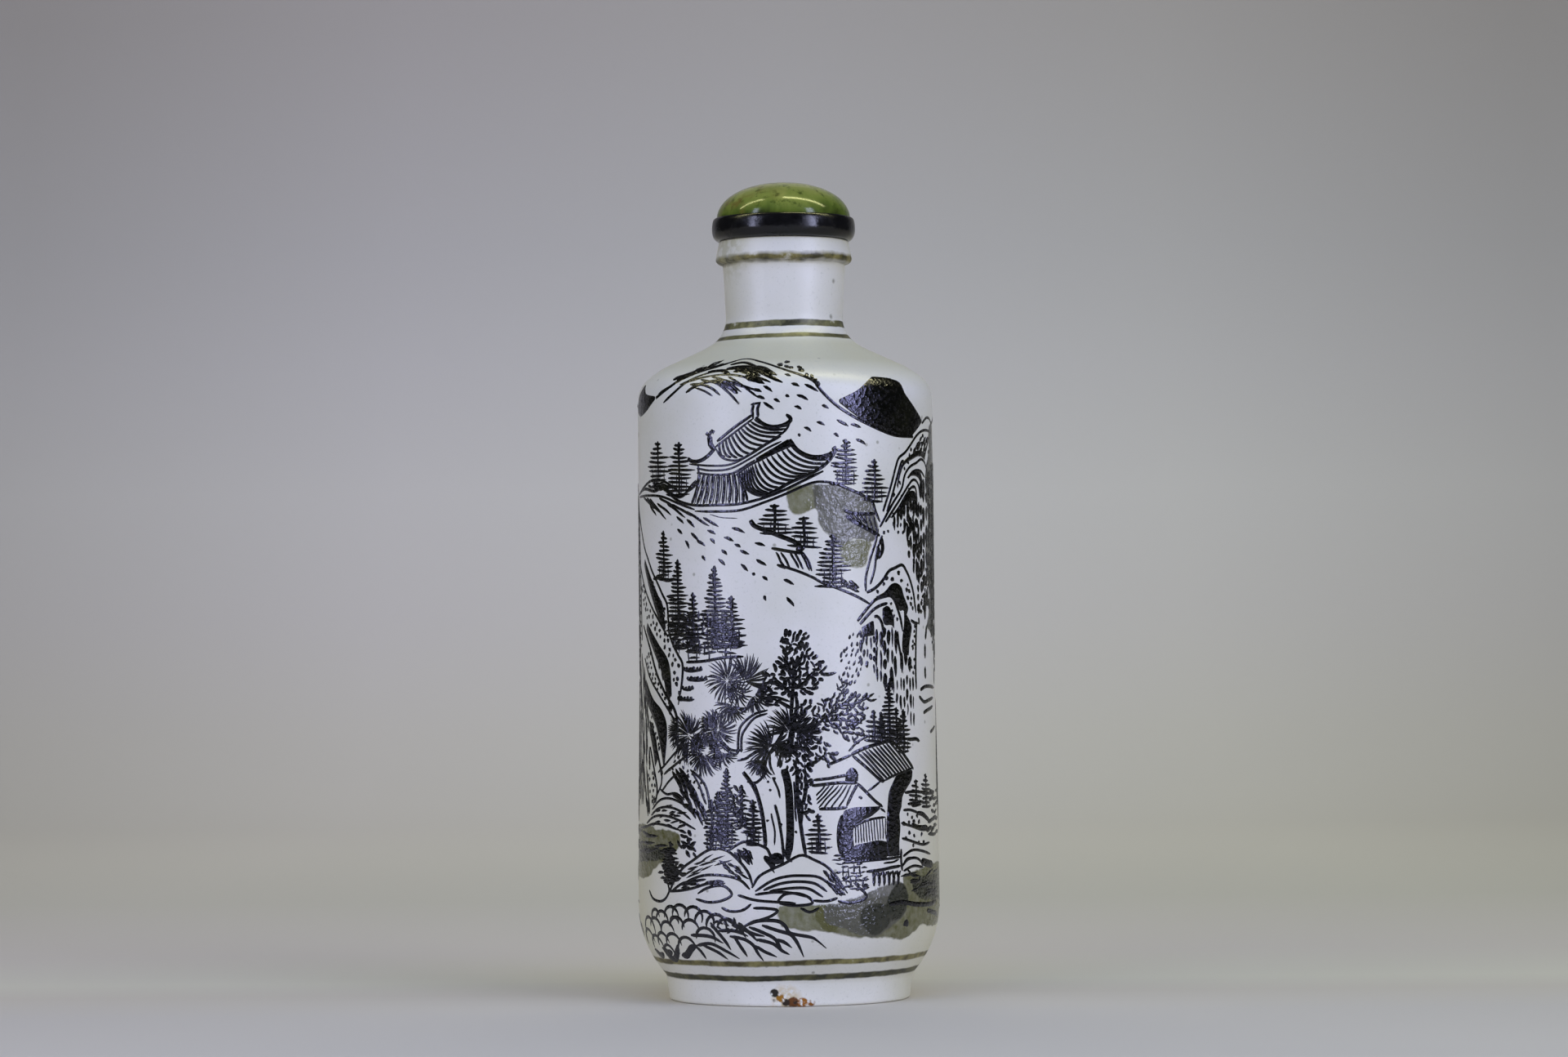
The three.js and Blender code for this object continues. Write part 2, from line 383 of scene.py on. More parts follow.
def spot(tree, place, middle, radius, softness):
    """One inside a ball about a point, nothing outside it, with a soft edge."""
    away = node(tree, "VectorMath", [place, middle], operation="DISTANCE").outputs["Value"]
    return node(tree, "MapRange", [away, radius, radius + softness, 1.0, 0.0])


def laid_over(tree, under, over, *amounts):
    """One colour laid over another by the product of some amounts."""
    amount, *others = amounts
    for other in others:
        amount = node(tree, "Math", [amount, other], operation="MULTIPLY")
    return node(tree, "Mix", {"Factor": amount, 6: under, 7: over}, data_type="RGBA").outputs[2]


# Thin enamel laid flat: the layer of points that holds it, its colour and how much it hides.
WASH_COLOURS = (
    ("wash_pale", "#6b6b4e", 0.95), ("wash_olive", "#56552c", 0.95), ("wash_grey", "#55544f", 0.92),
    ("wash_dark", "#22241b", 0.95),
)
RING_TILT = 0.013  # how far a ring drops for each unit to the right
# Olive lines banded on while the bottle turned: middle height, how far it strays, half width and
# softness in millimetres, the colour where thin and where thick, and how much bare glaze is left.
RINGS = (
    (4.25, 0.08, 0.2, 0.14, "#8b8454", "#463f1e", 0.26),
    (2.8, 0.06, 0.22, 0.13, "#57552f", "#21220f", 0.14),
    (65.95, 0.05, 0.27, 0.1, "#74724e", "#27281b", 0.3),
    (64.72, 0.05, 0.17, 0.08, "#6a6842", "#38371f", 0.22),
    (72.42, 0.14, 0.16, 0.4, "#867d4a", "#35310f", 0.3),
)
# Pinholes and iron specks: how many to the metre, the share of them left out, size, colour, density.
SPECKS = ((420.0, 0.93, 0.07, "#4d4a38", 0.8), (900.0, 0.94, 0.09, "#6b6a5a", 0.6))
# Rust on the foot, and a darker olive patch at the lip's left edge that is partly a stain and partly
# painted shade: middle, radius and softness in millimetres, colour and density.
RUST_STAINS_AND_SHADE = (
    ((-0.4, -11.9, 0.7), 0.7, 1.0, "#c6a85a", 0.7),
    # Partly an olive stain and partly painted shade at the lip's left edge.
    ((-6.2, -3.4, 73.2), 1.4, 2.4, "#a8a68c", 0.5),
    ((1.2, -11.9, 0.3), 0.3, 0.35, "#9c6000", 3.0),
    ((2.1, -11.9, 0.3), 0.22, 0.3, "#8a5200", 3.0),
    ((-0.9, -11.9, 0.85), 0.2, 0.3, "#a06c00", 3.0),
    ((0.3, -11.9, 0.42), 0.3, 0.3, "#6a3a00", 3.0),
    ((-0.4, -11.9, 0.42), 0.22, 0.24, "#26170a", 1.7),
    ((-1.5, -11.9, 1.35), 0.26, 0.2, "#1d1207", 2.0),
    ((-1.55, -11.9, 0.6), 0.1, 0.16, "#1d1207", 1.6),
    ((0.5, -11.9, 0.45), 0.12, 0.16, "#26170a", 1.6),
)


def porcelain_material():
    """Glazed porcelain: cool white, grained like orange peel, creamier and darker on the shoulder,
    partly painted shade there, and darker and creamier low on the left and right edges as seen
    from the front, which is painted shade. Over it come brush washes that glisten, olive ring
    lines, pinholes and iron specks, rust on the foot, and an olive patch at the lip's left edge
    that is partly a stain and partly painted shade."""
    material, tree, output = blank_material("glazed_porcelain")
    place = node(tree, "TexCoord").outputs["Object"]
    parts = node(tree, "SeparateXYZ", [place]).outputs
    height = parts["Z"]
    # Cloudy noises, named for what they do: features are about a metre over the scale wide.
    clouds, ragged, blotch, streaky, patchy, grain, wrinkle = (
        node(tree, "TexNoise", {"Vector": place, "Scale": scale, "Detail": detail, "Roughness": roughness})
        for scale, detail, roughness in (
            (110.0, 3.0, 0.5), (900.0, 3.0, 0.5), (1500.0, 4.0, 0.5), (700.0, 4.0, 0.6),
            (190.0, 2.0, 0.5), (4200.0, 2.0, 0.5), (2600.0, 2.0, 0.5),
        )
    )
    upward = node(tree, "MapRange", [height, 0.0, 74 * MM])
    # Tone by height: the darker, creamier band on the shoulder is partly the glaze's cream and partly
    # painted shade.
    body = node(tree, "ValToRGB", [upward], [
        (0.0, "#efeef2"), (0.05, "#ebeaee"), (0.12, "#e2dfe4"), (0.8, "#e0dfe2"), (0.82, "#dad7c9"),
        (0.84, "#c8c5ab"), (0.865, "#c8c5ab"), (0.885, "#dad8d6"), (0.96, "#dedcde"), (1.0, "#d2d0ce"),
    ])
    body = laid_over(tree, body, "#c9c9bb", node(tree, "MapRange", [clouds, 0.4, 0.75, 0.0, 0.5]))
    # Painted shade: darker and creamier towards the left and right edges, as seen from the front, low on
    # the barrel.
    sideways = node(tree, "Math", [parts["X"]], operation="ABSOLUTE")
    side_shade = node(tree, "MapRange", [sideways, 9 * MM, 14.4 * MM])
    low = node(tree, "MapRange", [height, 38 * MM, 12 * MM, 0.0, 0.6])
    body = laid_over(tree, body, "#cbc7a4", side_shade, low)
    colour = laid_over(tree, body, "#a9aba6", node(tree, "MapRange", [grain, 0.6, 0.8, 0.0, 0.35]))

    washes = 0.0
    for name, tone, thick in WASH_COLOURS:
        inward = node(tree, "Attribute", attribute_name=name).outputs["Fac"]
        edge = node(tree, "Math", [ragged, 0.6, inward], operation="MULTIPLY_ADD")
        within = node(tree, "MapRange", [edge, 0.24, 0.42, 0.0, thick])
        uneven = node(tree, "MapRange", [blotch, 0.25, 0.7, 0.85, 1.06])
        amount = node(tree, "Math", [within, uneven], operation="MULTIPLY")
        colour = laid_over(tree, colour, tone, amount)
        washes = node(tree, "Math", [washes, amount], operation="MAXIMUM")

    for middle, stray, half_width, softness, thin, thick, bare in RINGS:
        drift = node(tree, "MapRange", [patchy, 0.3, 0.7, (middle - stray) * MM, (middle + stray) * MM])
        tilted = node(tree, "Math", [parts["X"], -RING_TILT, height], operation="MULTIPLY_ADD")
        away = node(tree, "Math", [tilted, drift], operation="SUBTRACT")
        away = node(tree, "Math", [away], operation="ABSOLUTE")
        frayed = node(tree, "Math", [ragged, softness * 1.2 * MM, away], operation="MULTIPLY_ADD")
        reach = (half_width + softness * 0.6) * MM
        mask = node(tree, "MapRange", [frayed, reach, reach + softness * MM, 1.0, 0.0])
        tone = laid_over(tree, thin, thick, node(tree, "MapRange", [streaky, 0.38, 0.6]))
        cover = node(tree, "MapRange", [streaky, bare - 0.08, bare + 0.1])
        colour = laid_over(tree, colour, tone, mask, cover)

    for scale, left_out, size, tone, density in SPECKS:
        cells = node(tree, "TexVoronoi", {"Vector": place, "Scale": scale}).outputs
        chance = node(tree, "SeparateXYZ", [cells["Color"]])
        sparse = node(tree, "Math", [chance, left_out], operation="GREATER_THAN")
        speck = node(tree, "MapRange", [cells["Distance"], size, size * 2.2, density, 0.0])
        colour = laid_over(tree, colour, tone, speck, sparse)
    for middle, radius, softness, tone, density in RUST_STAINS_AND_SHADE:
        mask = spot(tree, place, [value * MM for value in middle], radius * MM, softness * MM)
        patches = node(tree, "MapRange", [blotch, 0.4, 0.56])
        colour = laid_over(tree, colour, tone, mask, patches, density)

    raised = node(tree, "MapRange", [washes, 0.0, 1.0, 0.3, 5.0])
    relief = node(tree, "Math", [wrinkle, raised], operation="MULTIPLY")
    shader = node(tree, "BsdfPrincipled", {
        "Base Color": colour, "IOR": 1.55,
        "Roughness": node(tree, "MapRange", [washes, 0.0, 1.0, 0.42, 0.12]),
        "Normal": node(tree, "Bump", {"Height": relief, "Strength": 0.7, "Distance": 0.04 * MM}),
    })
    tree.links.new(shader.outputs["BSDF"], output.inputs["Surface"])
    return material


porcelain = porcelain_material()
bottle = mesh_object("porcelain_bottle", bottle_points, bottle_faces, porcelain)
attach(bottle, "root")
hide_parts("bottle")


# --- Washes ----------------------------------------------------------------------------------
# Broad areas of thinned enamel, brushed flat on the glaze in four tones: each point of the bottle
# holds how far inside the nearest area of a tone it lies. Places on the glaze are the way round
# the barrel from its front line, to the right, and the height, in millimetres.
STEP = 0.32  # about how far apart the points of a smooth line stand
WASH_REACH = 3.0  # how far in or out of a wash is still measured


def through(points, spacing=STEP):
    """Even points on a smooth curve through the given ones: on each stretch a cubic whose ends
    have the direction from the point before to the point after."""
    corners = np.array(points, float)
    corners = np.concatenate([2 * corners[:1] - corners[1:2], corners, 2 * corners[-1:] - corners[-2:-1]])
    length = np.linalg.norm(np.diff(corners[1:-1], axis=0), axis=1).sum()
    count = max(4, int(round(length / spacing)) + 1)
    place = np.linspace(0, len(corners) - 3 - 1e-6, count)
    index = place.astype(int)
    t = (place - index)[:, None]
    a, b, c, d = (corners[index + offset] for offset in range(4))
    square = 2 * a - 5 * b + 4 * c - d
    cube = 3 * b - a - 3 * c + d
    return 0.5 * (2 * b + (c - a) * t + square * t ** 2 + cube * t ** 3)


def inside(places, outline):
    """Which places lie inside a closed outline: an odd number of its sides is to their right."""
    a = np.array(outline, float)
    b = np.roll(a, -1, axis=0)
    x, y = places[:, 0:1], places[:, 1:2]
    crosses = (a[:, 1] > y) != (b[:, 1] > y)
    rise = np.where(b[:, 1] == a[:, 1], 1e-9, b[:, 1] - a[:, 1])
    where = a[:, 0] + (y - a[:, 1]) * (b[:, 0] - a[:, 0]) / rise
    return (crosses & (x < where)).sum(1) % 2 == 1


def depth_inside(places, outline):
    """How far places lie inside a closed outline, negative outside: to its nearest side."""
    rim = through([*outline, outline[0]], 0.6)
    nearest = np.full(len(places), WASH_REACH)
    for start, way in zip(rim[:-1], np.diff(rim, axis=0)):
        t = np.clip(((places - start) @ way) / max(way @ way, 1e-9), 0, 1)
        nearest = np.minimum(nearest, np.linalg.norm(places - start - t[:, None] * way, axis=1))
    return np.where(inside(places, rim), nearest, -nearest)


WASHES = {
    "wash_pale": (
        [(-38, 10.2), (-32, 10.4), (-29.4, 9.4), (-31, 7.8), (-36, 7.4), (-39.4, 8.4)],
        [(30.6, 50), (33.6, 49.6), (35.4, 47.8), (33.8, 45.8), (31, 46.2), (29.8, 48.2)],
        [(-1.1, 9.9), (3.6, 9.9), (5, 8.8), (4.4, 7.2), (2.6, 7.4), (0.5, 7.5), (-1, 8.2)],
        [(0.1, 49.4), (1.2, 49.8), (2.6, 50), (3.3, 49.6), (3.3, 48.6), (2.9, 47.7), (2, 47.1),
         (0.9, 46.9), (0.2, 47.6), (0, 48.6)],
        [(5, 44.5), (6.8, 44.6), (8.6, 44.6), (8.3, 43.2), (7.9, 42), (6.6, 41.9), (5.4, 42.4)],
    ),
    "wash_olive": (
        [(2.6, 9.9), (4, 9.9), (9, 10.5), (13, 10.2), (16, 9.6), (21, 9.4), (24, 8.4), (20, 7.2),
         (15.6, 7.4), (14.2, 6.8), (12.2, 6.2), (10, 6.5), (6.5, 6.7), (3.6, 7.3), (2.4, 8.6)],
        [(12, 12.4), (14, 12.8), (20, 13.4), (24, 12.4), (24, 9.2), (14, 9.4), (12.2, 10.4)],
        [(-24, 17.2), (-18, 17.3), (-15, 16.9), (-12.4, 16.8), (-11.4, 16.2), (-11.6, 15.2),
         (-13, 14.2), (-15.4, 13.2), (-17, 12.2), (-19, 12), (-24, 12.4), (-26.2, 12.9), (-28.8, 14),
         (-29, 15.2), (-26.6, 16.7)],
        [(24, 12.2), (30, 11.6), (36, 10.8), (40.4, 10.2), (41, 8.6), (36, 7.2), (30, 7.4), (23, 7.8)],
    ),
    "wash_grey": (
        [(33.2, 49.2), (34.8, 50.2), (36.4, 49.4), (38.2, 49.6), (39, 47.4), (38.1, 45.9), (38.4, 44.4),
         (36.6, 44), (35.2, 44.8), (33.6, 44.3), (33.4, 46.2), (32.4, 47.4)],
        [(-36.6, 49.6), (-35, 50.6), (-33.4, 50), (-31.4, 50.3), (-30.1, 48.6), (-31, 47.2),
         (-30.4, 45.9), (-32.6, 45.5), (-34, 46.3), (-35.9, 45.6), (-36.2, 47), (-37.2, 48)],
        [(2.7, 49.9), (5, 49.9), (7, 49.1), (8.6, 48.3), (9.2, 47), (9.6, 45.4), (8.9, 44.4),
         (6.8, 44.6), (5, 44), (4.2, 45), (3.2, 45.9), (3, 47.2), (2.6, 48.6)],
        [(3.3, 9.9), (5, 10.1), (7.5, 10.8), (9.4, 11.5), (11.4, 11.9), (12.6, 11.3), (12.8, 10),
         (12.5, 8.8), (11.4, 8.1), (10.4, 7.4), (9.4, 6.8), (8, 6.6), (6.6, 7), (5.2, 7.5), (3.8, 7.9),
         (3.2, 8.8)],
    ),
    "wash_dark": (
        [(6.9, 8.4), (7.6, 7.2), (8.6, 6.8), (9.8, 7.2), (10.5, 8.2), (10.2, 9.3), (9.2, 9.9),
         (7.9, 9.8), (7.1, 9.3)],
        [(9.8, 9.8), (10.4, 10.9), (11.6, 11.8), (12.7, 11.2), (12.8, 9.9), (12.3, 8.7), (11, 8.2),
         (9.9, 8.8)],
        [(-24, 15.2), (-18, 15.3), (-14.6, 15.1), (-13.6, 14.4), (-15.4, 13.8), (-24, 13.6),
         (-26.6, 14.2)],
        [(13.6, 12), (16, 12.2), (24, 12.6), (25.8, 12.2), (27.6, 11.5), (27, 10.5), (24, 9.8),
         (16.4, 9.8), (13.8, 10.6)],
        [(17.6, 36.2), (18.6, 39), (17.4, 43.2), (18.3, 47), (17.5, 50.8), (18.8, 53.4), (18.9, 55.6),
         (20.6, 56.4), (21.4, 54), (22.9, 51.2), (21.8, 47.6), (22.8, 43), (21.7, 39.4), (20.4, 35.4)],
    ),
}
glaze_points = bottle_points / MM
glaze_places = np.stack([
    np.arctan2(glaze_points[:, 0], -glaze_points[:, 1]) * BARREL_RADIUS,
    glaze_points[:, 2],
], -1)
for name, outlines in WASHES.items():
    depth = np.max([depth_inside(glaze_places, outline) for outline in outlines], axis=0)
    depth[:len(under_foot) * TURN_SEGMENTS] = -WASH_REACH
    depth[(len(under_foot) + len(outside)) * TURN_SEGMENTS:] = -WASH_REACH
    layer = bottle.data.attributes.new(name, "FLOAT", "POINT")
    layer.data.foreach_set("value", depth.astype(np.float32))


# --- Enamel landscape: the brush -------------------------------------------------------------
# The picture is drawn over the fired glaze with a fine brush and black enamel paste, which
# stands a few hundredths of a millimetre proud and fires to a hard gloss.
BLEED = 1.24  # how much wider than the brush a line fires
LINE_HEIGHT = 0.05
THIN_HEIGHT = 0.035  # of areas that other strokes lie on
SINK = 0.006  # how far a stroke's edges lie under the glaze
CREASE = math.radians(70)  # edges sharper than this aren't smoothed
FOOT_EDGE = 6  # points of the foot's rounded edge, which carries no enamel
HAND = 1905  # seed of the painter's small irregularities

glaze_height = outside[FOOT_EDGE:, 1]
glaze_radius = outside[FOOT_EDGE:, 0]
glaze_lean = np.gradient(glaze_radius, glaze_height)
random = np.random.default_rng(HAND)


def on_glaze(places):
    """Points on the glaze and its outward directions there: the angle is the way along over the
    barrel's radius, the radius and its lean come from the profile at that height."""
    angle = places[..., 0] / BARREL_RADIUS
    radius = np.interp(places[..., 1], glaze_height, glaze_radius)
    lean = np.interp(places[..., 1], glaze_height, glaze_lean)
    flat = 1 / np.sqrt(1 + lean ** 2)
    across, back = np.sin(angle), -np.cos(angle)
    points = np.stack([radius * across, radius * back, places[..., 1]], -1)
    outward = np.stack([flat * across, flat * back, -lean * flat], -1)
    return points, outward


def unit(vectors):
    """Vectors of length one."""
    return vectors / np.maximum(np.linalg.norm(vectors, axis=-1, keepdims=True), 1e-9)


def part_way(path, parts):
    """Places at these parts of the way along a path, straight from each of its points to the next."""
    along = np.linspace(0, 1, len(path))
    return np.stack([np.interp(parts, along, path[:, axis]) for axis in (0, 1)], -1)


def ridge_strokes(paths, width, start, end):
    """Strokes as low ridges with a left edge, a crest and a right edge. A stroke's width grows
    from its start and shrinks to its end as the square root of the way along."""
    strokes, count = paths.shape[:2]
    points, outward = on_glaze(paths)
    ahead = unit(np.gradient(points, axis=1))
    side = np.cross(outward, ahead)
    t = np.linspace(0, 1, count)
    swell = np.sqrt(np.clip((t + 0.03) / start, 0.04, 1) * np.clip((1.03 - t) / end, 0.04, 1))
    half = (np.broadcast_to(np.asarray(width, float), (strokes,))[:, None] * swell * BLEED / 2)[..., None]
    tall = np.minimum(LINE_HEIGHT, half * 0.4)
    section = np.stack([
        points + side * half - outward * SINK,
        points + outward * tall,
        points - side * half - outward * SINK,
    ], 2).reshape(-1, 3)
    quads = grid_faces(count, 3, around=True)
    offset = (np.arange(strokes) * count * 3)[:, None, None]
    last = (count - 1) * 3
    caps = np.array([[2, 1, 0], [last, last + 1, last + 2]])
    return section, (quads + offset).reshape(-1, 4), (caps + offset).reshape(-1, 3)


def brush(drawing, paths, width, start, end):
    """Adds strokes of equally many points to a drawing, with the small tremor of a hand."""
    paths = np.asarray(paths, float)
    if paths.ndim == 2:
        paths = paths[None]
    t = np.linspace(0, 1, paths.shape[1])[None, :, None]
    phase = random.uniform(0, 2 * math.pi, (paths.shape[0], 1, 2))
    swing = random.uniform(0.01, 0.035, (paths.shape[0], 1, 2))
    drawing.append(ridge_strokes(paths + swing * np.sin(7 * t + phase), width, start, end))


def line(drawing, points, width, start=0.08, end=0.12):
    """One long line through a few points."""
    brush(drawing, through(points), width, start, end)


def lines(drawing, strokes, start=0.08, end=0.12):
    """Long lines, each given as its width and then its points."""
    for width, *points in strokes:
        line(drawing, points, width, start, end)


def flicks(drawing, spans, width, start, end, bow=(0.0, 0.0)):
    """Short strokes, each given as the place it starts from and the place it ends at, with its
    middle moved by the bow."""
    for left, first, right, last in spans:
        middle = ((left + right) / 2 + bow[0], (first + last) / 2 + bow[1])
        line(drawing, [(left, first), middle, (right, last)], width, start, end)


def filled(drawing, lower, upper, height=LINE_HEIGHT):
    """A solid area of enamel between two lines that run the same way: a sheet of points from
    one line to the other, domed at its edges, closed by a sheet under the glaze."""
    count = max(len(through(lower)), len(through(upper)))
    t = np.linspace(0, 1, count)
    rims = [part_way(through(rim), t) for rim in (lower, upper)]
    widest = np.linalg.norm(rims[1] - rims[0], axis=1).max()
    across = max(5, int(widest / 0.5) + 3)
    v = np.linspace(0, 1, across)
    v = (v - np.sin(2 * math.pi * v) / (2 * math.pi) + v) / 2
    places = rims[0][:, None] * (1 - v[:, None]) + rims[1][:, None] * v[:, None]
    points, outward = on_glaze(places)
    rim_fall = np.minimum(1, 4 * np.minimum(v, 1 - v)) ** 0.5
    end_fall = np.minimum(1, 8 * np.minimum(t, 1 - t)) ** 0.5
    lift = height * rim_fall[None] * end_fall[:, None] - SINK
    top = points + outward * lift[..., None]
    under = points - outward * SINK * 2
    loop = np.concatenate([top, under[:, ::-1]], 1)
    around = 2 * across
    faces = grid_faces(count, around, around=True)[:, ::-1]
    k = np.arange(across - 1)
    cap = np.stack([k, k + 1, around - 2 - k, around - 1 - k], -1)
    caps = np.concatenate([cap, cap[:, ::-1] + (count - 1) * around])
    drawing.append((loop.reshape(-1, 3), np.concatenate([faces, caps]), np.zeros((0, 3), int)))


def scattered(outline, spacing):
    """Places inside an outline: a staggered grid of this spacing, each moved a little at random."""
    corners = np.array(outline, float)
    (left, low), (right, high) = corners.min(0), corners.max(0)
    x, y = np.meshgrid(np.arange(left, right, spacing[0]), np.arange(low, high, spacing[1]))
    x = x + (np.arange(x.shape[0]) % 2)[:, None] * spacing[0] / 2
    places = np.stack([x.ravel(), y.ravel()], -1)
    places = places + random.uniform(-0.3, 0.3, places.shape) * spacing
    return places[inside(places, outline)]


def dashes(drawing, places, length, direction, width, bend, spread):
    """Short strokes centred on places: they run in one direction, a little bent, each turned
    and lengthened a little at random."""
    count = len(places)
    if not count:
        return
    angle = math.radians(direction) + random.normal(0, spread, count)
    reach = random.uniform(*length, count)[:, None, None]
    t = np.linspace(-0.5, 0.5, 5)
    way = np.stack([np.cos(angle), np.sin(angle)], -1)[:, None]
    side = np.stack([-np.sin(angle), np.cos(angle)], -1)[:, None]
    paths = places[:, None] + reach * (way * t[:, None] + side * (bend * (0.25 - t ** 2))[:, None])
    brush(drawing, paths, width * random.uniform(0.75, 1.2, count), 0.3, 0.45)


def hatched(drawing, outline, spacing, length, direction, width, bend=0.0, spread=0.12):
    """Dashes scattered inside an outline."""
    dashes(drawing, scattered(outline, spacing), length, direction, width, bend, spread)


def dots(drawing, places, size):
    """Round dots: very short fat strokes."""
    dashes(drawing, np.array(places), (size * 0.7, size * 1.15), 0, size, 0.0, 0.7)


def streaks(drawing, top, count, length, lean, width):
    """Strokes that start along a line and run down, leaning a little."""
    begin = part_way(through(top), np.sort(random.uniform(0, 1, count)))
    begin = begin + random.normal(0, 0.15, begin.shape)
    reach = random.uniform(*length, count)
    t = np.linspace(0, 1, 7)
    down = np.stack([lean * reach[:, None] * t + 0.05 * np.sin(5 * t), -reach[:, None] * t], -1)
    brush(drawing, begin[:, None] + down, width * random.uniform(0.7, 1.3, count), 0.2, 0.7)


def rain(drawing, top, bottom, count, length=(0.9, 2.2), gap=0.35, width=0.4):
    """Falling strokes in even columns between two lines, each column broken into dashes."""
    upper, lower = through(top), through(bottom)
    t = np.linspace(0, 1, 6)
    for along in np.linspace(upper[0, 0], upper[-1, 0], count):
        high = np.interp(along, upper[:, 0], upper[:, 1]) + random.uniform(-0.3, 0.1)
        low = np.interp(along, lower[:, 0], lower[:, 1]) + random.uniform(-0.8, 0.5)
        reach = random.uniform(*length, 12)
        starts = high - np.concatenate([[0], np.cumsum(reach + gap * random.uniform(0.6, 1.5, 12))[:-1]])
        kept = starts - reach / 2 > low
        y = starts[kept, None] - reach[kept, None] * t
        x = along + random.uniform(-0.07, 0.07, kept.sum())[:, None] + random.uniform(-0.06, 0.06) * t
        if kept.any():
            widths = width * random.uniform(0.6, 1.2, kept.sum())
            brush(drawing, np.stack([x, y], -1), widths, 0.15, 0.4)


def enamel_material():
    """Black overglaze enamel: near black and glossy, thinning to olive brown here and there. Its
    skin is granular, so that the shine on it breaks into points, and has a violet cast."""
    material, tree, output = blank_material("black_overglaze_enamel")
    place = node(tree, "TexCoord").outputs["Object"]
    clouds = node(tree, "TexNoise", {"Vector": place, "Scale": 400.0, "Detail": 3.0})
    grains = node(tree, "TexNoise", {"Vector": place, "Scale": 2400.0, "Detail": 2.0})
    shader = node(tree, "BsdfPrincipled", {
        "Base Color": node(tree, "ValToRGB", [clouds], [
            (0.45, "#050603"), (0.64, "#11120a"), (0.8, "#2a2a1b"),
        ]),
        "Roughness": node(tree, "MapRange", [grains, 0.35, 0.6, 0.32, 0.1]), "IOR": 1.58,
        "Specular Tint": "#e6e4ff",
        "Normal": node(tree, "Bump", {"Height": grains, "Strength": 1.0, "Distance": 0.08 * MM}),
    })
    tree.links.new(shader.outputs["BSDF"], output.inputs["Surface"])
    return material


enamel = enamel_material()


def enamel_piece(name, drawing):
    """One object from a drawing's strokes and areas."""
    offset = 0
    points, quads, triangles = [], [], []
    for some_points, some_quads, some_triangles in drawing:
        points.append(some_points)
        quads.append(some_quads + offset)
        triangles.append(some_triangles + offset)
        offset += len(some_points)
    faces = [np.concatenate(quads), np.concatenate(triangles)]
    made = mesh_object(name, np.concatenate(points) * MM, faces, enamel)
    made.data.set_sharp_from_angle(angle=CREASE)
    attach(made, "root")


# --- Far hills -------------------------------------------------------------------------------
# Rounded hills along the shoulder: a ridge with long curved strokes on its left part, shrubs
# along its crest and falling dashes on its right, and two hills filled with solid enamel.
far_hills = []
ridge = [(-15.1, 58.6), (-13, 59.5), (-10.3, 60.9), (-7, 61.6), (-4.8, 62.1), (-2.5, 61.7), (0, 60.9),
         (2.6, 59.9), (3.6, 58.7), (5.3, 57.2), (8, 55.8), (11.5, 54.7), (14.8, 54.6)]
line(far_hills, ridge, 0.28, 0.02, 0.02)
lines(far_hills, [
    (0.3, (-14.6, 59), (-13, 59.5), (-11.8, 60.1), (-9.6, 60.9), (-8, 61.3), (-6.6, 61.6)),
    (0.26, (-13.7, 58.1), (-12.2, 58.9), (-10.4, 60), (-8.4, 60.7), (-6.6, 61), (-4.8, 61),
     (-2.6, 60.3)),
    (0.24, (-11.4, 59.7), (-9.8, 60.1), (-8.2, 60.4), (-6.2, 60.5), (-4.2, 60.2), (-2.4, 59.5)),
    (0.28, (-10.4, 58.9), (-9.4, 59.4), (-8, 59.8), (-6.2, 59.9), (-4.4, 59.4), (-2.2, 58.7)),
    (0.24, (-10, 59.7), (-8.6, 59.6), (-7.2, 59.1), (-6.4, 58.5)),
    (0.22, (-8.8, 60.1), (-6.8, 59.6), (-5, 58.3)),
    (0.22, (-7.6, 60.3), (-5.8, 59.8), (-4.2, 58.7)),
    (0.24, (-6.6, 59.6), (-5.6, 58.8), (-4.5, 57.6)),
    (0.22, (-5.8, 60.3), (-4.2, 59.4), (-2.5, 58.1)),
    (0.2, (-9.3, 59.3), (-8, 58.9), (-7.2, 58.4)),
    (0.4, (-6.2, 61.5), (-4.6, 61.7), (-2.8, 61.1), (-1.2, 60.3)),
    (0.34, (-5.4, 61.2), (-3.6, 61), (-1.8, 60.3), (-0.2, 59.6)),
    (0.24, (-4.6, 60.7), (-2.8, 60.2), (-1.4, 59.6)),
    (0.44, (-12.8, 60.3), (-11.2, 60.7), (-9.6, 61.3)),
], 0.1, 0.2)
for arc in (
    [(-6.4, 61.1), (-5, 61.3), (-3.6, 61.2), (-2, 60.6)],
    [(-5.4, 60.8), (-4, 60.8), (-2.4, 60.3)],
    [(-3.2, 61.3), (-2, 61), (-0.8, 60.3)],
    [(-4, 60.3), (-3.2, 60.1), (-2, 59.5)],
    [(-8.4, 60.9), (-6.8, 60.9), (-5.6, 60.5)],
    [(-7, 60), (-5.4, 59.2), (-4.6, 58.6)],
):
    line(far_hills, arc, 0.4, 0.1, 0.25)
hatched(far_hills, [(-12.3, 60.2), (-10.4, 61.3), (-8, 62), (-7.4, 61.6), (-9.5, 60.9), (-11.6, 60.1)],
        (0.4, 0.3), (0.5, 0.9), 25, 0.26, 0.1)
dots(far_hills, [(-0.5, 61.4), (0.35, 61.7), (0.7, 61.1), (0.2, 61.2), (1.6, 61.1), (1.7, 60.8),
                 (2.2, 60.3), (2.7, 60.2), (3, 59.8), (3.2, 59.4)], 0.5)
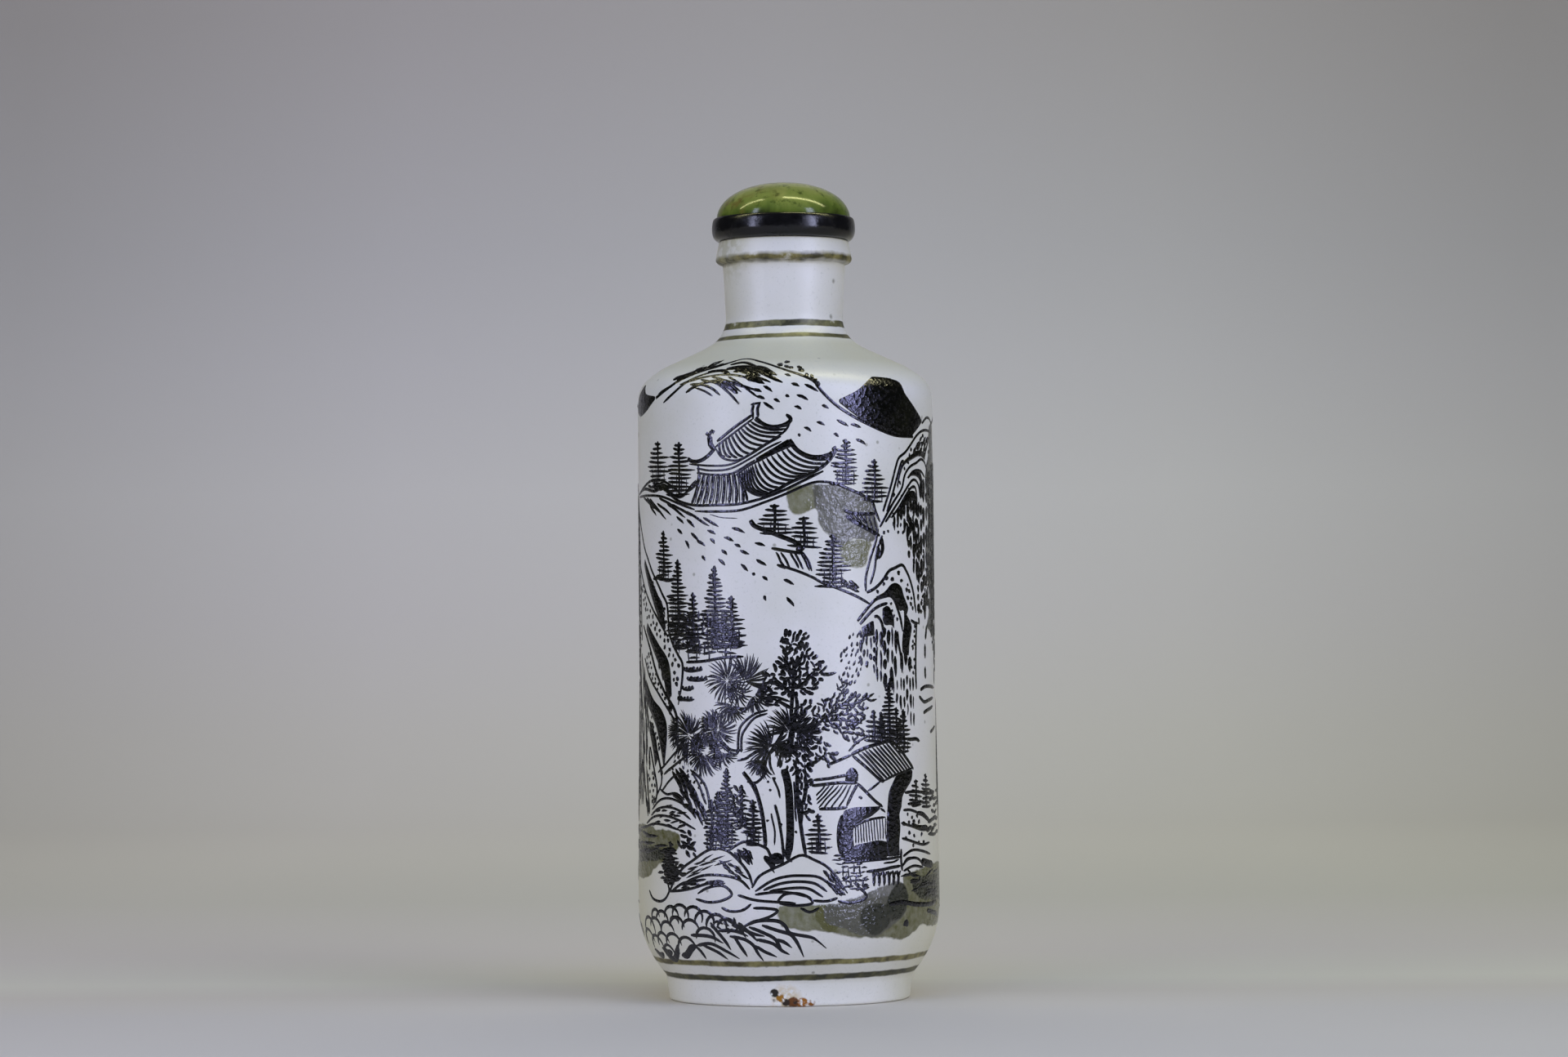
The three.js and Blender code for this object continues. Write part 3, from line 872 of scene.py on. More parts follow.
flicks(far_hills, [
    (-3.8, 60, -2.6, 59.6), (-3.2, 59, -2.2, 58.7), (-2.7, 58.3, -1.9, 58), (-2.1, 59.3, -1.2, 58.7),
    (0, 60.4, 0.6, 60.2), (0.6, 59.5, 1.4, 59.2), (1.9, 59.4, 3.2, 58.7), (1.1, 58.4, 2.2, 57.9),
    (0, 58.3, 0.4, 58.2), (-1.1, 58, -0.5, 57.7), (-2.1, 57.7, -1.1, 57), (0.9, 57.3, 1.6, 57),
    (3.5, 57.4, 4.2, 57.1), (3, 55.8, 3.8, 55.5), (5, 56, 6.2, 55.4), (6.5, 55.6, 7.6, 55.3),
    (1.8, 55.3, 2.5, 54.9), (1.2, 54.6, 1.4, 54.4), (4.7, 54.7, 5.2, 54.4), (7, 54.2, 8.1, 53.7),
], 0.28, 0.2, 0.3, (0, 0.06))
filled(far_hills, [(5.2, 57.7), (6.9, 56.5), (8.3, 55.75), (11.6, 54.75), (14.3, 54.65), (15.3, 55.1),
                   (16.9, 56.2)],
       [(5.2, 57.95), (7.2, 58.9), (8.9, 60.1), (9.9, 60.4), (12.7, 60.05), (13.6, 58.7), (16.9, 56.3)])
filled(far_hills, [(-21.5, 57.6), (-19.5, 57), (-17.4, 57.4), (-15.2, 58.5)],
       [(-21.5, 58.1), (-19.2, 60.2), (-17.6, 59.2), (-15.2, 58.8)])
enamel_piece("far_hills", far_hills)


# --- Temple ----------------------------------------------------------------------------------
# A hall with two tiled roofs that sweep up at their eaves, on a terrace. Every line of tiles is
# one curved stroke from the ridge to the eave.
temple = []


def tiled_roof(drawing, ridge_line, eave_line, count, sag, width):
    """Rows of tiles: strokes from even places on the ridge to even places on the eave, hanging
    between them by the sag."""
    ends = [part_way(through(rim, 0.1), np.linspace(0, 1, count)) for rim in (ridge_line, eave_line)]
    t = np.linspace(0, 1, 12)[:, None]
    hang = np.array(sag) * 4 * t * (1 - t)
    brush(drawing, ends[0][:, None] * (1 - t) + ends[1][:, None] * t + hang, width, 0.15, 0.12)


tiled_roof(temple, [(-6.5, 54), (-3, 56.1)],
           [(-5.9, 52.6), (-4.2, 52.5), (-2.4, 53.4), (-0.6, 54.5), (0.4, 55.5)],
           12, (-0.25, -0.35), 0.24)
lines(temple, [
    (0.2, (-7, 53.5), (-5, 54.85), (-3, 56.2)),
    (0.28, (-6.8, 54.1), (-5, 55.3), (-3.1, 56.6)),
    (0.28, (-3.1, 56.2), (-3.15, 57), (-3, 57.6)),
    (0.28, (-2.6, 56.3), (-2.65, 57), (-2.4, 57.7)),
    (0.22, (-3.3, 57.5), (-2.3, 57.7)),
    (0.36, (-2.8, 56.3), (-2.2, 55.7), (-1.3, 55.35), (-0.3, 55.45), (0.45, 55.85), (0.5, 56.2),
     (0.1, 56.55)),
    (0.2, (0.5, 55.8), (-0.2, 54.8), (-2.4, 53.4), (-4.2, 52.35), (-5.3, 52.25), (-6.3, 52.6),
     (-7, 53.5)),
    (0.5, (-7.1, 53.4), (-7.45, 53.7), (-7.55, 54.3), (-7.65, 54.7)),
])
line(temple, [(-8, 54.9), (-7.6, 54.7), (-7.4, 55.1), (-7.1, 54.9)], 0.34, 0.02, 0.02)
line(temple, [(-7, 53.4), (-7.8, 52.7), (-8.7, 52.3), (-9.6, 52.25), (-10.2, 52.5)], 0.36, 0.05, 0.02)
for drop, left in ((0, -10), (0.42, -9.1)):
    line(temple, [(left, 52 - drop), (-7.5, 51.75 - drop), (-5.4, 51.85 - drop), (-3.4, 52.75 - drop),
                  (-1.6, 53.8 - drop), (-0.4, 54.4 - drop)], 0.2)
lines(temple, [
    (0.22, (-9.1, 51.1), (-7.4, 50.9), (-5.5, 50.95), (-4.5, 51.3), (-2.9, 52.2)),
    (0.2, (-4.9, 50.8), (-3.6, 51.6), (-2.2, 52.3), (-0.6, 53.1), (0.6, 53.8)),
])
filled(temple, [(-2.9, 51.8), (-1.2, 52.65), (0.8, 53.5)], [(-2.9, 52.4), (-1.2, 53.35), (0.4, 54.3)])
tiled_roof(temple, [(-4.2, 51.2), (-2.6, 52), (0.6, 53.6)],
           [(-3.4, 49.5), (-2.2, 49), (-0.8, 49.4), (1.2, 50.4), (3, 51.2), (4.3, 52.3)],
           15, (-0.35, -0.55), 0.26)
line(temple, [(0.4, 54.1), (1, 53.2), (2, 52.6), (3.2, 52.45), (4.3, 52.7), (4.8, 53), (4.6, 53.35)],
     0.42, 0.05, 0.1)
dots(temple, [(4.75, 53.3), (4.5, 52.9)], 0.4)
line(temple, [(4.8, 52.8), (3.8, 51.7), (2.4, 50.85), (0.4, 50), (-1.4, 49.05), (-2.6, 48.9),
              (-3.6, 49.4), (-4.2, 50.3), (-4.7, 50.8)], 0.32)
for part in np.linspace(0, 1, 9):
    top, foot = -8.7 + 4.2 * part, -9.8 + 5.7 * part
    line(temple, [(top, 50.95), ((top + foot) / 2 + 0.1, 49.5), (foot, 48.1)], 0.3)
    line(temple, [(top + 0.32, 50.9), ((top + foot) / 2 + 0.4, 49.6), (foot + 0.34, 48.1)], 0.13)
lines(temple, [
    (0.24, (-8.9, 51.9), (-8.9, 50.7), (-9.5, 49.8), (-10.6, 49.2)),
    (0.28, (-4.6, 50.6), (-4.1, 49.6), (-3.7, 48.3)),
    (0.26, (3.6, 51.1), (1.6, 50.15), (-0.4, 49.2), (-2.4, 48.5), (-4.6, 48.05), (-7, 48),
     (-9.5, 48.05), (-11.6, 48.55), (-13, 49.3), (-14.6, 50.2)),
    (0.24, (5.2, 49.9), (3.8, 50.1), (2.4, 49.95), (0.2, 49), (-2, 48.15), (-4.4, 47.45), (-7, 47.4),
     (-9.4, 47.5)),
    (0.1, (-7.6, 47.1), (-6.4, 46.8), (-4.7, 46.65)),
])
enamel_piece("temple", temple)


# --- Firs ------------------------------------------------------------------------------------
# Slender firs: an upright stroke, tiers of level strokes that lengthen downwards, and a row of
# fine upright strokes through the lower tiers.
firs = []


def fir(drawing, along, base, top, reach, tier=0.37):
    """One fir: level strokes across the trunk at even heights, short at the top and soon at
    their full reach, with a few uprights between the lower ones."""
    tall = top - base
    count = max(5, int(tall / tier))
    level = np.linspace(0, 0.95, count)
    spread = reach * np.minimum(1.25, 0.3 + 1.9 * (1 - level))
    left, right = spread * random.uniform(0.65, 1.2, (2, count))
    t = np.linspace(0, 1, 8)
    x = along - left[:, None] + (left + right)[:, None] * t
    tilt = random.uniform(-0.25, 0.1, count)[:, None]
    y = base + tall * level[:, None] + tilt * (t - 0.5) + 0.16 * (t - 0.5) ** 2
    brush(drawing, np.stack([x, y], -1), 0.26, 0.15, 0.3)
    line(drawing, [(along, base), (along + 0.04, (base + top) / 2), (along, top + 0.1)], 0.26)
    line(drawing, [(along, base + 0.72 * tall), (along, base + 0.9 * tall), (along, top + 0.1)], 0.36)
    uprights = np.linspace(-0.7, 0.7, 4) * reach
    high = base + tall * (0.55 - 0.3 * np.abs(uprights) / reach)
    t = np.linspace(0, 1, 6)[:, None]
    low = np.stack([along + uprights, np.full(4, base - 0.1)], -1)[:, None]
    up = np.stack([along + uprights, high], -1)[:, None]
    brush(drawing, low * (1 - t) + up * t, 0.13, 0.2, 0.4)


for place in (
    (-14.8, 50.6, 54.3, 1.6), (-11.4, 49.1, 54.1, 1.4), (5.9, 49.9, 54.1, 1.25),
    (9.1, 48.3, 52.2, 1.25), (-1.1, 45.2, 47.9, 1.5), (1.7, 43.9, 46.7, 1.3), (4.5, 40.1, 45, 1.25),
    (-13.9, 41, 45.6, 1.1), (-11.7, 35.6, 42.8, 1.15), (-9.7, 34.1, 39.6, 0.95),
    (-7.2, 34.4, 42.1, 1.1), (-5.4, 34.6, 39.2, 1.1),
):
    fir(firs, *place)
grove = [(-13.2, 35), (-12.9, 37.6), (-8.8, 37.8), (-5.2, 37.4), (-4.2, 35.4), (-4.8, 33.6),
         (-9.8, 33.4)]
hatched(firs, grove, (0.9, 0.45), (0.9, 1.5), 1, 0.24)
hatched(firs, [(-13, 35.2), (-12.8, 39.4), (-10, 38.6), (-9.4, 34.4), (-10.4, 33.8)],
        (1, 0.7), (0.9, 1.6), 1, 0.2)
hatched(firs, grove, (0.5, 1.3), (0.8, 1.5), 90, 0.2, spread=0.05)
enamel_piece("firs", firs)


# --- Slopes and the valley huts --------------------------------------------------------------
# The ground between the groups: lines of the knoll and the terraces, falling dashes on the bare
# slope, and two small huts among the firs.
slopes = []
lines(slopes, [
    (0.26, (-20.5, 49.4), (-18, 50.2), (-16.5, 50.6), (-15, 50.7), (-13.5, 50.4), (-12, 49.7),
     (-11, 49.1)),
    (0.3, (-20.5, 49.5), (-18, 49.9), (-15.5, 49.6), (-13.8, 49.9), (-12, 49), (-10.9, 49), (-10, 49.7),
     (-9.2, 50.4)),
    (0.24, (-20.5, 49.2), (-17, 49.2), (-14, 49), (-11.5, 48.3), (-9.4, 47.6)),
])
hatched(slopes, [(-17, 50.1), (-14.2, 50.4), (-12, 49.6), (-14.5, 49.6)],
        (0.5, 0.22), (0.8, 1.3), -6, 0.3)
flicks(slopes, [
    (-18.4, 49.1, -15.6, 47.9), (-17.4, 49, -14.6, 47.5), (-16.6, 48.9, -13.4, 46.8),
    (-15, 48.4, -12.6, 47.2), (-14.6, 48.9, -12, 47.9), (-13.2, 48.3, -10.6, 46.9),
    (-12.4, 48.2, -9.8, 47), (-10.6, 47.5, -7.7, 46), (-8.4, 46.8, -6.7, 45.9),
    (-16.6, 48.2, -15.2, 47.2), (-11.8, 47, -10.8, 46.3),
], 0.26, 0.1, 0.3, (0, 0.06))
flicks(slopes, [
    (-5.3, 45.8, -4, 45.3), (-6.1, 44.9, -5.1, 44.5), (-7.6, 44.8, -7.1, 44.3),
    (-10.4, 46.7, -9.4, 45.9), (-11.7, 45.8, -11, 45.3), (-10.6, 44.7, -10.1, 43.9),
    (-9.9, 45.4, -8.9, 44.6), (-9.2, 44.7, -8.2, 44.1), (-6.4, 43.7, -5.8, 43.2),
    (-8.6, 43.2, -8.2, 42.7), (-6.7, 42.8, -6, 42.2), (-4.5, 43.6, -3.6, 43.2),
    (-4.4, 42.3, -3.7, 41.6), (-3, 44.3, -2, 44), (-2.9, 42.7, -1.9, 42.1), (-2.3, 41.1, -1.8, 40.7),
    (-0.3, 40.8, 0.7, 40.3), (0, 39.1, 0.7, 38.2), (-2.2, 39.3, -2, 38.8), (-0.9, 42.2, -0.1, 41.8),
    (-3.3, 41.4, -3, 41.2), (-7.9, 45.6, -7, 45.2), (-5, 44.2, -4.4, 43.9),
], 0.3, 0.2, 0.4, (0, 0.05))
lines(slopes, [
    (0.28, (4.8, 50), (6, 49.5), (7.5, 48.9), (8.8, 48.2), (9.2, 47.3), (9.7, 46.3)),
    (0.34, (5.7, 47.4), (6.6, 47.1), (7.6, 47), (9.2, 47.1)),
    (0.4, (5.9, 46.9), (7, 46.2), (8.4, 45.5), (9.7, 45)),
])
for left in (6.3, 6.8, 7.3):
    line(slopes, [(left, 47), (left + 0.35, 46.6), (left + 0.8, 46.1)], 0.26)
for left in (8.1, 8.6, 9.1):
    line(slopes, [(left - 0.2, 46.9), (left, 46.2), (left + 0.3, 45.3)], 0.2)
line(slopes, [(-3.4, 46.5), (-3, 45.9), (-1.8, 45.4), (-0.5, 44.9), (0.8, 44.4), (1.7, 43.6)],
     0.42, 0.05, 0.05)
line(slopes, [(-1.4, 43.8), (-0.3, 43.55), (0.7, 43.4), (1.6, 43.3)], 0.3)
dots(slopes, [(1.3, 43.5), (1.5, 43.8), (1.1, 43.7)], 0.5)
for left in (-1, -0.5, 0.35, 0.75, 1.35, 1.6):
    line(slopes, [(left, 43.4), (left + 0.45, 42.6), (left + 0.85, 41.9 - 0.2 * max(left, 0))], 0.22)
line(slopes, [(-0.9, 42.2), (1, 41.6), (2.5, 41), (3.4, 40.5), (5, 39.9), (7, 39.1), (8.6, 38.3)], 0.26)
hatched(slopes, [(5.2, 40), (5.6, 40.7), (7, 40.4), (7.2, 39.5)], (0.45, 0.3), (0.5, 0.8), -20, 0.3)
lines(slopes, [
    (0.34, (-15.9, 41.1), (-14.6, 41.2), (-13.4, 40.9), (-12, 41)),
    (0.28, (-10.6, 33), (-8.4, 33.1), (-6.2, 33.4), (-4.2, 33.5)),
    (0.28, (-12.5, 34.5), (-11.4, 34.6), (-10.3, 34.5)),
])
for top, left, right in (
    (32.2, -10.9, -8.6), (31.3, -10.4, -8), (30.4, -11.1, -9.8), (29.4, -11.7, -9.6),
):
    line(slopes, [(left, top), ((left + right) / 2, top - 0.05), (right, top + 0.05)], 0.26)
    along = np.arange(left, right, 0.42)
    dots(slopes, np.stack([along, np.full(len(along), top + 0.15)], -1), 0.42)
enamel_piece("slopes", slopes)


# --- Mountains -------------------------------------------------------------------------------
# Cliffs at both sides: each fold has an outline, a second line inside it with moss dots between
# the two, a solid shadow under that and wet strokes that fall from it in broken columns.
mountains = []


def moss(drawing, outline, spacing, size=0.4):
    """Round dots of moss strewn inside an outline."""
    dots(drawing, scattered(outline, (spacing, spacing * 0.8)), size)


for outline in (
    [(10.1, 47.3), (10.8, 48.8), (11.4, 50.2), (11.9, 51.5), (12.4, 52.5), (13.4, 53.1), (14.6, 54.1),
     (15.5, 54.8), (16.8, 55.3), (18.4, 55.4), (20.4, 55.2)],
    [(10.6, 47.3), (11.4, 48.9), (12, 50.4), (12.6, 51.9), (13, 52.3)],
    [(9.7, 45.8), (10.5, 46.9), (11.6, 48.3), (12.8, 49.6), (13.3, 50.9), (14.2, 51.7), (15.4, 52.1),
     (16.5, 52.5), (17.5, 52.2), (18.3, 51.2)],
    [(10.4, 46.3), (11.6, 47.6), (12.8, 48.8), (13.8, 49.8), (14.6, 50.4), (15.3, 50.4), (15.9, 49.9),
     (16.2, 48.8)],
    [(11.2, 46.7), (12.4, 47.8), (13.4, 48.9), (14.4, 49.7), (15.1, 49.7), (15.5, 49)],
    [(13.8, 50.6), (14.6, 51.2), (15.6, 51.4), (16.6, 51.3), (17.4, 50.8)],
    [(16.8, 56), (18, 56.6), (19.2, 56.6), (20.4, 56.1)],
    [(9.5, 45.6), (9.2, 44.4), (8.5, 42.8), (8, 41), (8, 39.6)],
    [(10, 45), (9.3, 43.4), (9, 41.8), (8.5, 40.3)],
):
    line(mountains, outline, 0.26, 0.05, 0.1)
filled(mountains, [(12.2, 49.4), (12.5, 50.6), (13.2, 51.8), (14.6, 52.4), (16.2, 52.8), (17.6, 52.4)],
       [(12, 49.8), (12.4, 51.2), (13.1, 52.2), (14.4, 52.9), (16, 53.4), (17.8, 53.2)])
filled(mountains, [(13.5, 50.5), (14.4, 50.8), (15.4, 50.8), (16.2, 50.3), (16.6, 48.6)],
       [(13.9, 50.9), (14.6, 51.2), (15.6, 51.3), (16.6, 51), (17.2, 49)])
filled(mountains, [(12.2, 46.9), (13.1, 47.7), (13.9, 48.2), (14.8, 48.4), (15.6, 47.9)],
       [(12, 47.3), (12.9, 48.4), (13.9, 49.3), (14.9, 49.4), (15.7, 48.9)])
hatched(mountains, [(14.2, 52.9), (16.4, 54.6), (18.6, 54.8), (19.4, 53), (17.4, 53)],
        (0.7, 0.55), (0.7, 1.3), 40, 0.4)
moss(mountains, [(10.6, 47), (11.8, 49.4), (12.8, 52), (14.8, 54), (17.8, 55.2), (18, 54.6),
                 (14.4, 52.8), (12.4, 49.8)], 0.8)
moss(mountains, [(10.4, 46.4), (12.8, 48.9), (14.8, 50.2), (15.6, 49.8), (14.2, 49.4), (12.4, 47.8)],
     0.8, 0.3)
rain(mountains, [(11.6, 47), (13, 48.2), (14.4, 48.7), (15.8, 48.4)],
     [(11.6, 45.9), (13, 45.4), (14, 43.6), (15.8, 41)], 9, width=0.5)
rain(mountains, [(13.9, 48), (15, 48.2), (15.6, 47.8)], [(13.9, 43.4), (15, 41), (15.6, 37)],
     3, (0.5, 1), 0.25, 0.5)
rain(mountains, [(16.4, 50.6), (17.6, 50.6), (18.6, 51.4), (20.8, 52.6)],
     [(16.4, 39), (17.8, 38.4), (20.8, 38)], 7, (1, 2.8), 0.4, 0.6)
moss(mountains, [(15.9, 44.6), (17.4, 44.6), (18.6, 42), (18, 38.4), (16.2, 38)], 0.8, 0.42)
moss(mountains, [(9.9, 44.9), (10.9, 46.4), (13.8, 46.9), (13.4, 45.2), (11.8, 45.4)], 0.7, 0.34)
for mark in ([(9.9, 44.9), (10, 43.6), (9.5, 42.8)], [(9.4, 44), (9.5, 43.4), (9.3, 42.7)]):
    line(mountains, mark, 0.4)

for outline in (
    [(8.1, 39.5), (9, 39.9), (9.9, 40.6), (10.8, 41.6), (11.6, 41.9), (12.7, 42.2), (13.4, 41.6),
     (14, 40.8), (14.6, 39.6), (14.9, 38.4), (15.1, 37.6)],
    [(7, 36.8), (8, 37.9), (9, 38.8), (10, 39.1), (11, 39.2), (11.6, 38.7), (12, 37.9), (12.4, 37),
     (12.7, 35.8)],
    [(7.3, 36.5), (8.6, 37.7), (9.7, 38.3), (10.6, 38.5)],
    [(8.9, 37.2), (9.4, 37.2), (9.9, 36.4), (10, 35.2)],
    [(15.2, 36.6), (15, 34.6), (14.9, 32.4), (15, 30.2)],
    [(14.1, 36.9), (14.8, 36.6), (15.5, 36.6)],
    [(11.9, 35.8), (12.1, 34.6), (12.4, 33.4), (12.4, 32.2)],
):
    line(mountains, outline, 0.3, 0.05, 0.1)
filled(mountains, [(9.4, 38.95), (10.4, 39.15), (11.4, 39), (11.9, 38.4), (12.3, 37.7), (12.8, 37.8),
                   (13.4, 37.3)],
       [(9, 39.1), (10.2, 39.6), (11, 40.3), (11.8, 40.5), (12.6, 40.1), (13, 39.2), (13.8, 38)])
filled(mountains, [(9.9, 36.8), (10.3, 36.3), (11, 36.4), (11.5, 36)],
       [(9.9, 38), (10.5, 38.3), (11, 38), (11.5, 37)])
filled(mountains, [(12.6, 33.6), (12.6, 35), (12.9, 36.6), (12.9, 38)],
       [(13.7, 33.4), (13.9, 34.8), (14.3, 36.2), (13.6, 37.2)])
filled(mountains, [(7.6, 35.2), (8.2, 35.3), (9, 35.4)], [(7.4, 36.2), (8.2, 36.6), (8.9, 37)])
moss(mountains, [(8.8, 39.2), (10.6, 41), (12.6, 41.7), (14, 40), (14.8, 36.9), (14.1, 37.6),
                 (13.4, 39.6), (12.2, 40.8), (10.4, 40)], 0.7, 0.42)
moss(mountains, [(10.6, 38.6), (11.4, 38.5), (11.9, 37), (12.3, 35.9), (11.9, 36), (11.3, 37.4)],
     0.62, 0.32)
moss(mountains, [(14.2, 36.6), (14.9, 36.4), (14.7, 31.6), (14, 31.4), (14.4, 34)], 0.55, 0.36)
rain(mountains, [(9.2, 36), (10.4, 36.2), (11.6, 36.2)], [(9.2, 32.6), (10.4, 31.4), (11.6, 31.6)],
     6, (0.9, 2.4), 0.3, 0.42)
rain(mountains, [(12.6, 34), (13.3, 33.8), (13.8, 33.6)], [(12.6, 31), (13.3, 32), (13.8, 31.6)],
     3, (1.2, 2.2), 0.3, 0.5)
rain(mountains, [(7.3, 35.8), (8.4, 35.6), (9.2, 35.6)], [(7, 32.4), (8.4, 32.6), (9.2, 32.4)],
     6, (0.5, 1.3), 0.3, 0.3)
rain(mountains, [(9.2, 32.6), (11, 31.4), (14.4, 31.6)], [(9.2, 30.4), (11.4, 28.8), (14.4, 26.6)],
     11, (0.9, 1.5), 0.4, 0.32)
hatched(mountains, [(4.9, 30.6), (5.2, 33.6), (6.2, 35.4), (7.4, 36.6), (7.4, 34.6), (7.6, 31.4),
                    (6.4, 30.4)], (0.55, 0.62), (0.35, 0.7), 72, 0.22, spread=0.2)
flicks(mountains, [
    (17.7, 36.4, 17.2, 35), (17.1, 34.6, 17.1, 33.2), (17.1, 32.4, 17.1, 31.2),
], 0.45, 0.2, 0.2)
hatched(mountains, [(16, 37.6), (18.6, 38), (18.8, 41.6), (16.4, 41.4)],
        (1, 0.9), (0.5, 1), 20, 0.4, spread=0.3)

lines(mountains, [
    (0.28, (-21, 48.2), (-20, 46.8), (-19.2, 45.6), (-18.3, 44.2), (-17.2, 43), (-16.2, 41.8),
     (-15.2, 40.8), (-14.2, 39.6), (-13.4, 38.6), (-13.2, 37.2), (-13.1, 36), (-12.5, 34.8),
     (-11.7, 33.7), (-11.1, 32.8), (-11.2, 31), (-11.7, 28.9)),
    (0.22, (-17.6, 42.2), (-16, 40.2), (-14.6, 39), (-13.7, 37.6)),
    (0.26, (-20.5, 43), (-18.6, 40.6), (-16.6, 38.6), (-14.8, 37), (-13.2, 35.4)),
    (0.34, (-18.8, 36.6), (-17, 34.6), (-15.4, 32), (-13.8, 30), (-12.4, 28.6), (-11.7, 27.2)),
    (0.26, (-18.4, 33.4), (-17, 31.6), (-15, 30), (-13, 28.2), (-12.2, 27.3)),
    (0.3, (-16.6, 27.2), (-15.6, 25.2), (-14.8, 23.4), (-14.2, 21.8)),
    (0.3, (-16.8, 24.8), (-15.8, 22.6), (-15.2, 20.8), (-15.5, 19.4)),
    (0.26, (-15.4, 24.4), (-14.6, 23), (-14.1, 22.2)),
], 0.02, 0.1)
for lower, upper in (
    ([(-18.6, 42.6), (-17, 40.2), (-15.2, 37.6), (-13.8, 36)],
     [(-18.2, 43.2), (-16.2, 41), (-14.4, 38.8), (-13.5, 36.3)]),
    ([(-18, 36.2), (-15.8, 33.8), (-14.2, 31.6), (-13.5, 29.6)],
     [(-17.6, 37), (-15, 34.9), (-13.1, 33), (-12.6, 29.6)]),
    ([(-18.6, 29.6), (-16.8, 28.2), (-15.4, 26.6), (-14.5, 24.4), (-14, 22.8)],
     [(-18.2, 31.6), (-16.2, 29.6), (-14.3, 28.4), (-13.4, 26.6), (-13.8, 23)]),
    ([(-17.2, 26.6), (-16.2, 24.6), (-15.6, 22.8)], [(-16.8, 27.4), (-15.6, 26), (-14.9, 23.8)]),
):
    filled(mountains, lower, upper)
for rim, spacing, size in (
    ([(-16.9, 41.4), (-15.8, 40.8), (-13.6, 38.2), (-13.4, 36.4), (-14.1, 37.8)], 0.6, 0.36),
    ([(-20.4, 42.2), (-18.8, 40.4), (-15.2, 36.8), (-13.2, 35.4), (-11.4, 33), (-11.6, 29.6),
      (-12.4, 30.2), (-12.8, 33.4), (-14.8, 35.2), (-18.6, 38)], 0.75, 0.42),
    ([(-17, 34.4), (-15.2, 31.4), (-12.8, 28.8), (-12.4, 28), (-13.8, 28.9), (-16.4, 31.2),
      (-18, 33.2)], 0.62, 0.36),
    ([(-16.6, 28), (-15.4, 26.4), (-14.6, 24.2), (-15, 23.6), (-16, 25.4), (-17.2, 27)], 0.62, 0.4),
    ([(-17.2, 24.6), (-15.8, 22.4), (-15.4, 20), (-16.4, 19.4), (-17.4, 22)], 0.7, 0.4),
):
    moss(mountains, rim, spacing, size)
rain(mountains, [(-14.8, 33.6), (-13.8, 32), (-13, 30.6)], [(-14.8, 32.4), (-13.8, 30.6), (-13, 29)],
     4, (0.8, 1.4), 0.3, 0.4)
hatched(mountains, [(-20.8, 35), (-18.6, 31.8), (-17.2, 28.8), (-16.8, 22), (-16.4, 18.8), (-20.8, 19)],
        (0.8, 1.6), (1.4, 2.8), 97, 0.45, spread=0.06)
enamel_piece("mountains", mountains)


# --- Trees in front --------------------------------------------------------------------------
# Pines with needles in round bursts, a leafy tree and a bush of short comma strokes, and bare
# trunks drawn by their two sides.
trees = []


def burst(drawing, along, up, reach, count=40, first=0, last=360, width=0.155):
    """Pine needles: even strokes from near the centre outwards, between two directions in
    degrees, every second one starting farther out."""
    angle = np.radians(np.linspace(first, last, count, endpoint=False)) + random.normal(0, 0.035, count)
    inner = reach * (0.04 + 0.16 * (np.arange(count) % 2) + random.uniform(0, 0.06, count))
    outer = reach * random.uniform(0.82, 1.06, count)
    t = np.linspace(0, 1, 6)[:, None]
    turn = (0.14 + random.normal(0, 0.05, count))[None] * t ** 2
    distance = inner * (1 - t) + outer * t
    x = along + distance * np.cos(angle + turn)
    y = up + distance * np.sin(angle + turn)
    brush(drawing, np.stack([x.T, y.T], -1), width, 0.2, 0.3)


def leaves(drawing, outline, centre, spacing, length=(0.5, 0.9), width=0.3):
    """Leaves as comma strokes that point away from a centre, more or less."""
    places = scattered(outline, (spacing, spacing * 0.9))
    x, y = places[:, :1], places[:, 1:]
    way = np.arctan2(y - centre[1], x - centre[0]) + random.normal(0, 0.6, (len(places), 1))
    reach = random.uniform(*length, (len(places), 1))
    t = np.linspace(-0.5, 0.5, 6)
    x = x + reach * (np.cos(way) * t - np.sin(way) * 0.3 * t ** 2)
    y = y + reach * (np.sin(way) * t + np.cos(way) * 0.3 * t ** 2)
    brush(drawing, np.stack([x, y], -1), width * random.uniform(0.7, 1.25, len(places)), 0.3, 0.15)


for needles in (
    (-5.9, 31.2, 2.5, 40), (-4.2, 31.2, 2.6, 24, -30, 130), (-3.2, 29.8, 2, 22, -130, 60),
    (-5.4, 28.9, 1.9, 20, 170, 350), (-4.8, 30, 1.6, 20), (-10.2, 26, 3, 34, 105, 265),
    (-10.2, 26, 2.1, 18, 30, 105), (-10, 25.8, 2, 18, -95, 25), (-11.6, 26.2, 1.8, 18, 100, 270),
    (-6.9, 26.5, 2.1, 38), (-7.6, 27, 1.5, 20, 40, 220), (-8.4, 24.2, 2.3, 32, 165, 345),
    (-8, 24.8, 1.9, 20, -20, 165), (-6.5, 24.4, 1.7, 20, 150, 360), (-9.4, 25, 1.4, 18),
    (-1.7, 24.8, 2.6, 34, 75, 280), (-1.2, 25.2, 1.6, 14, -90, 60), (0.2, 26.3, 2.6, 36, -5, 190),
    (1, 26.5, 2.4, 26, -95, 30), (-0.2, 25.4, 1.9, 20, 190, 330), (-2.4, 23.6, 1.8, 18, 180, 300),
):
    burst(trees, *needles)
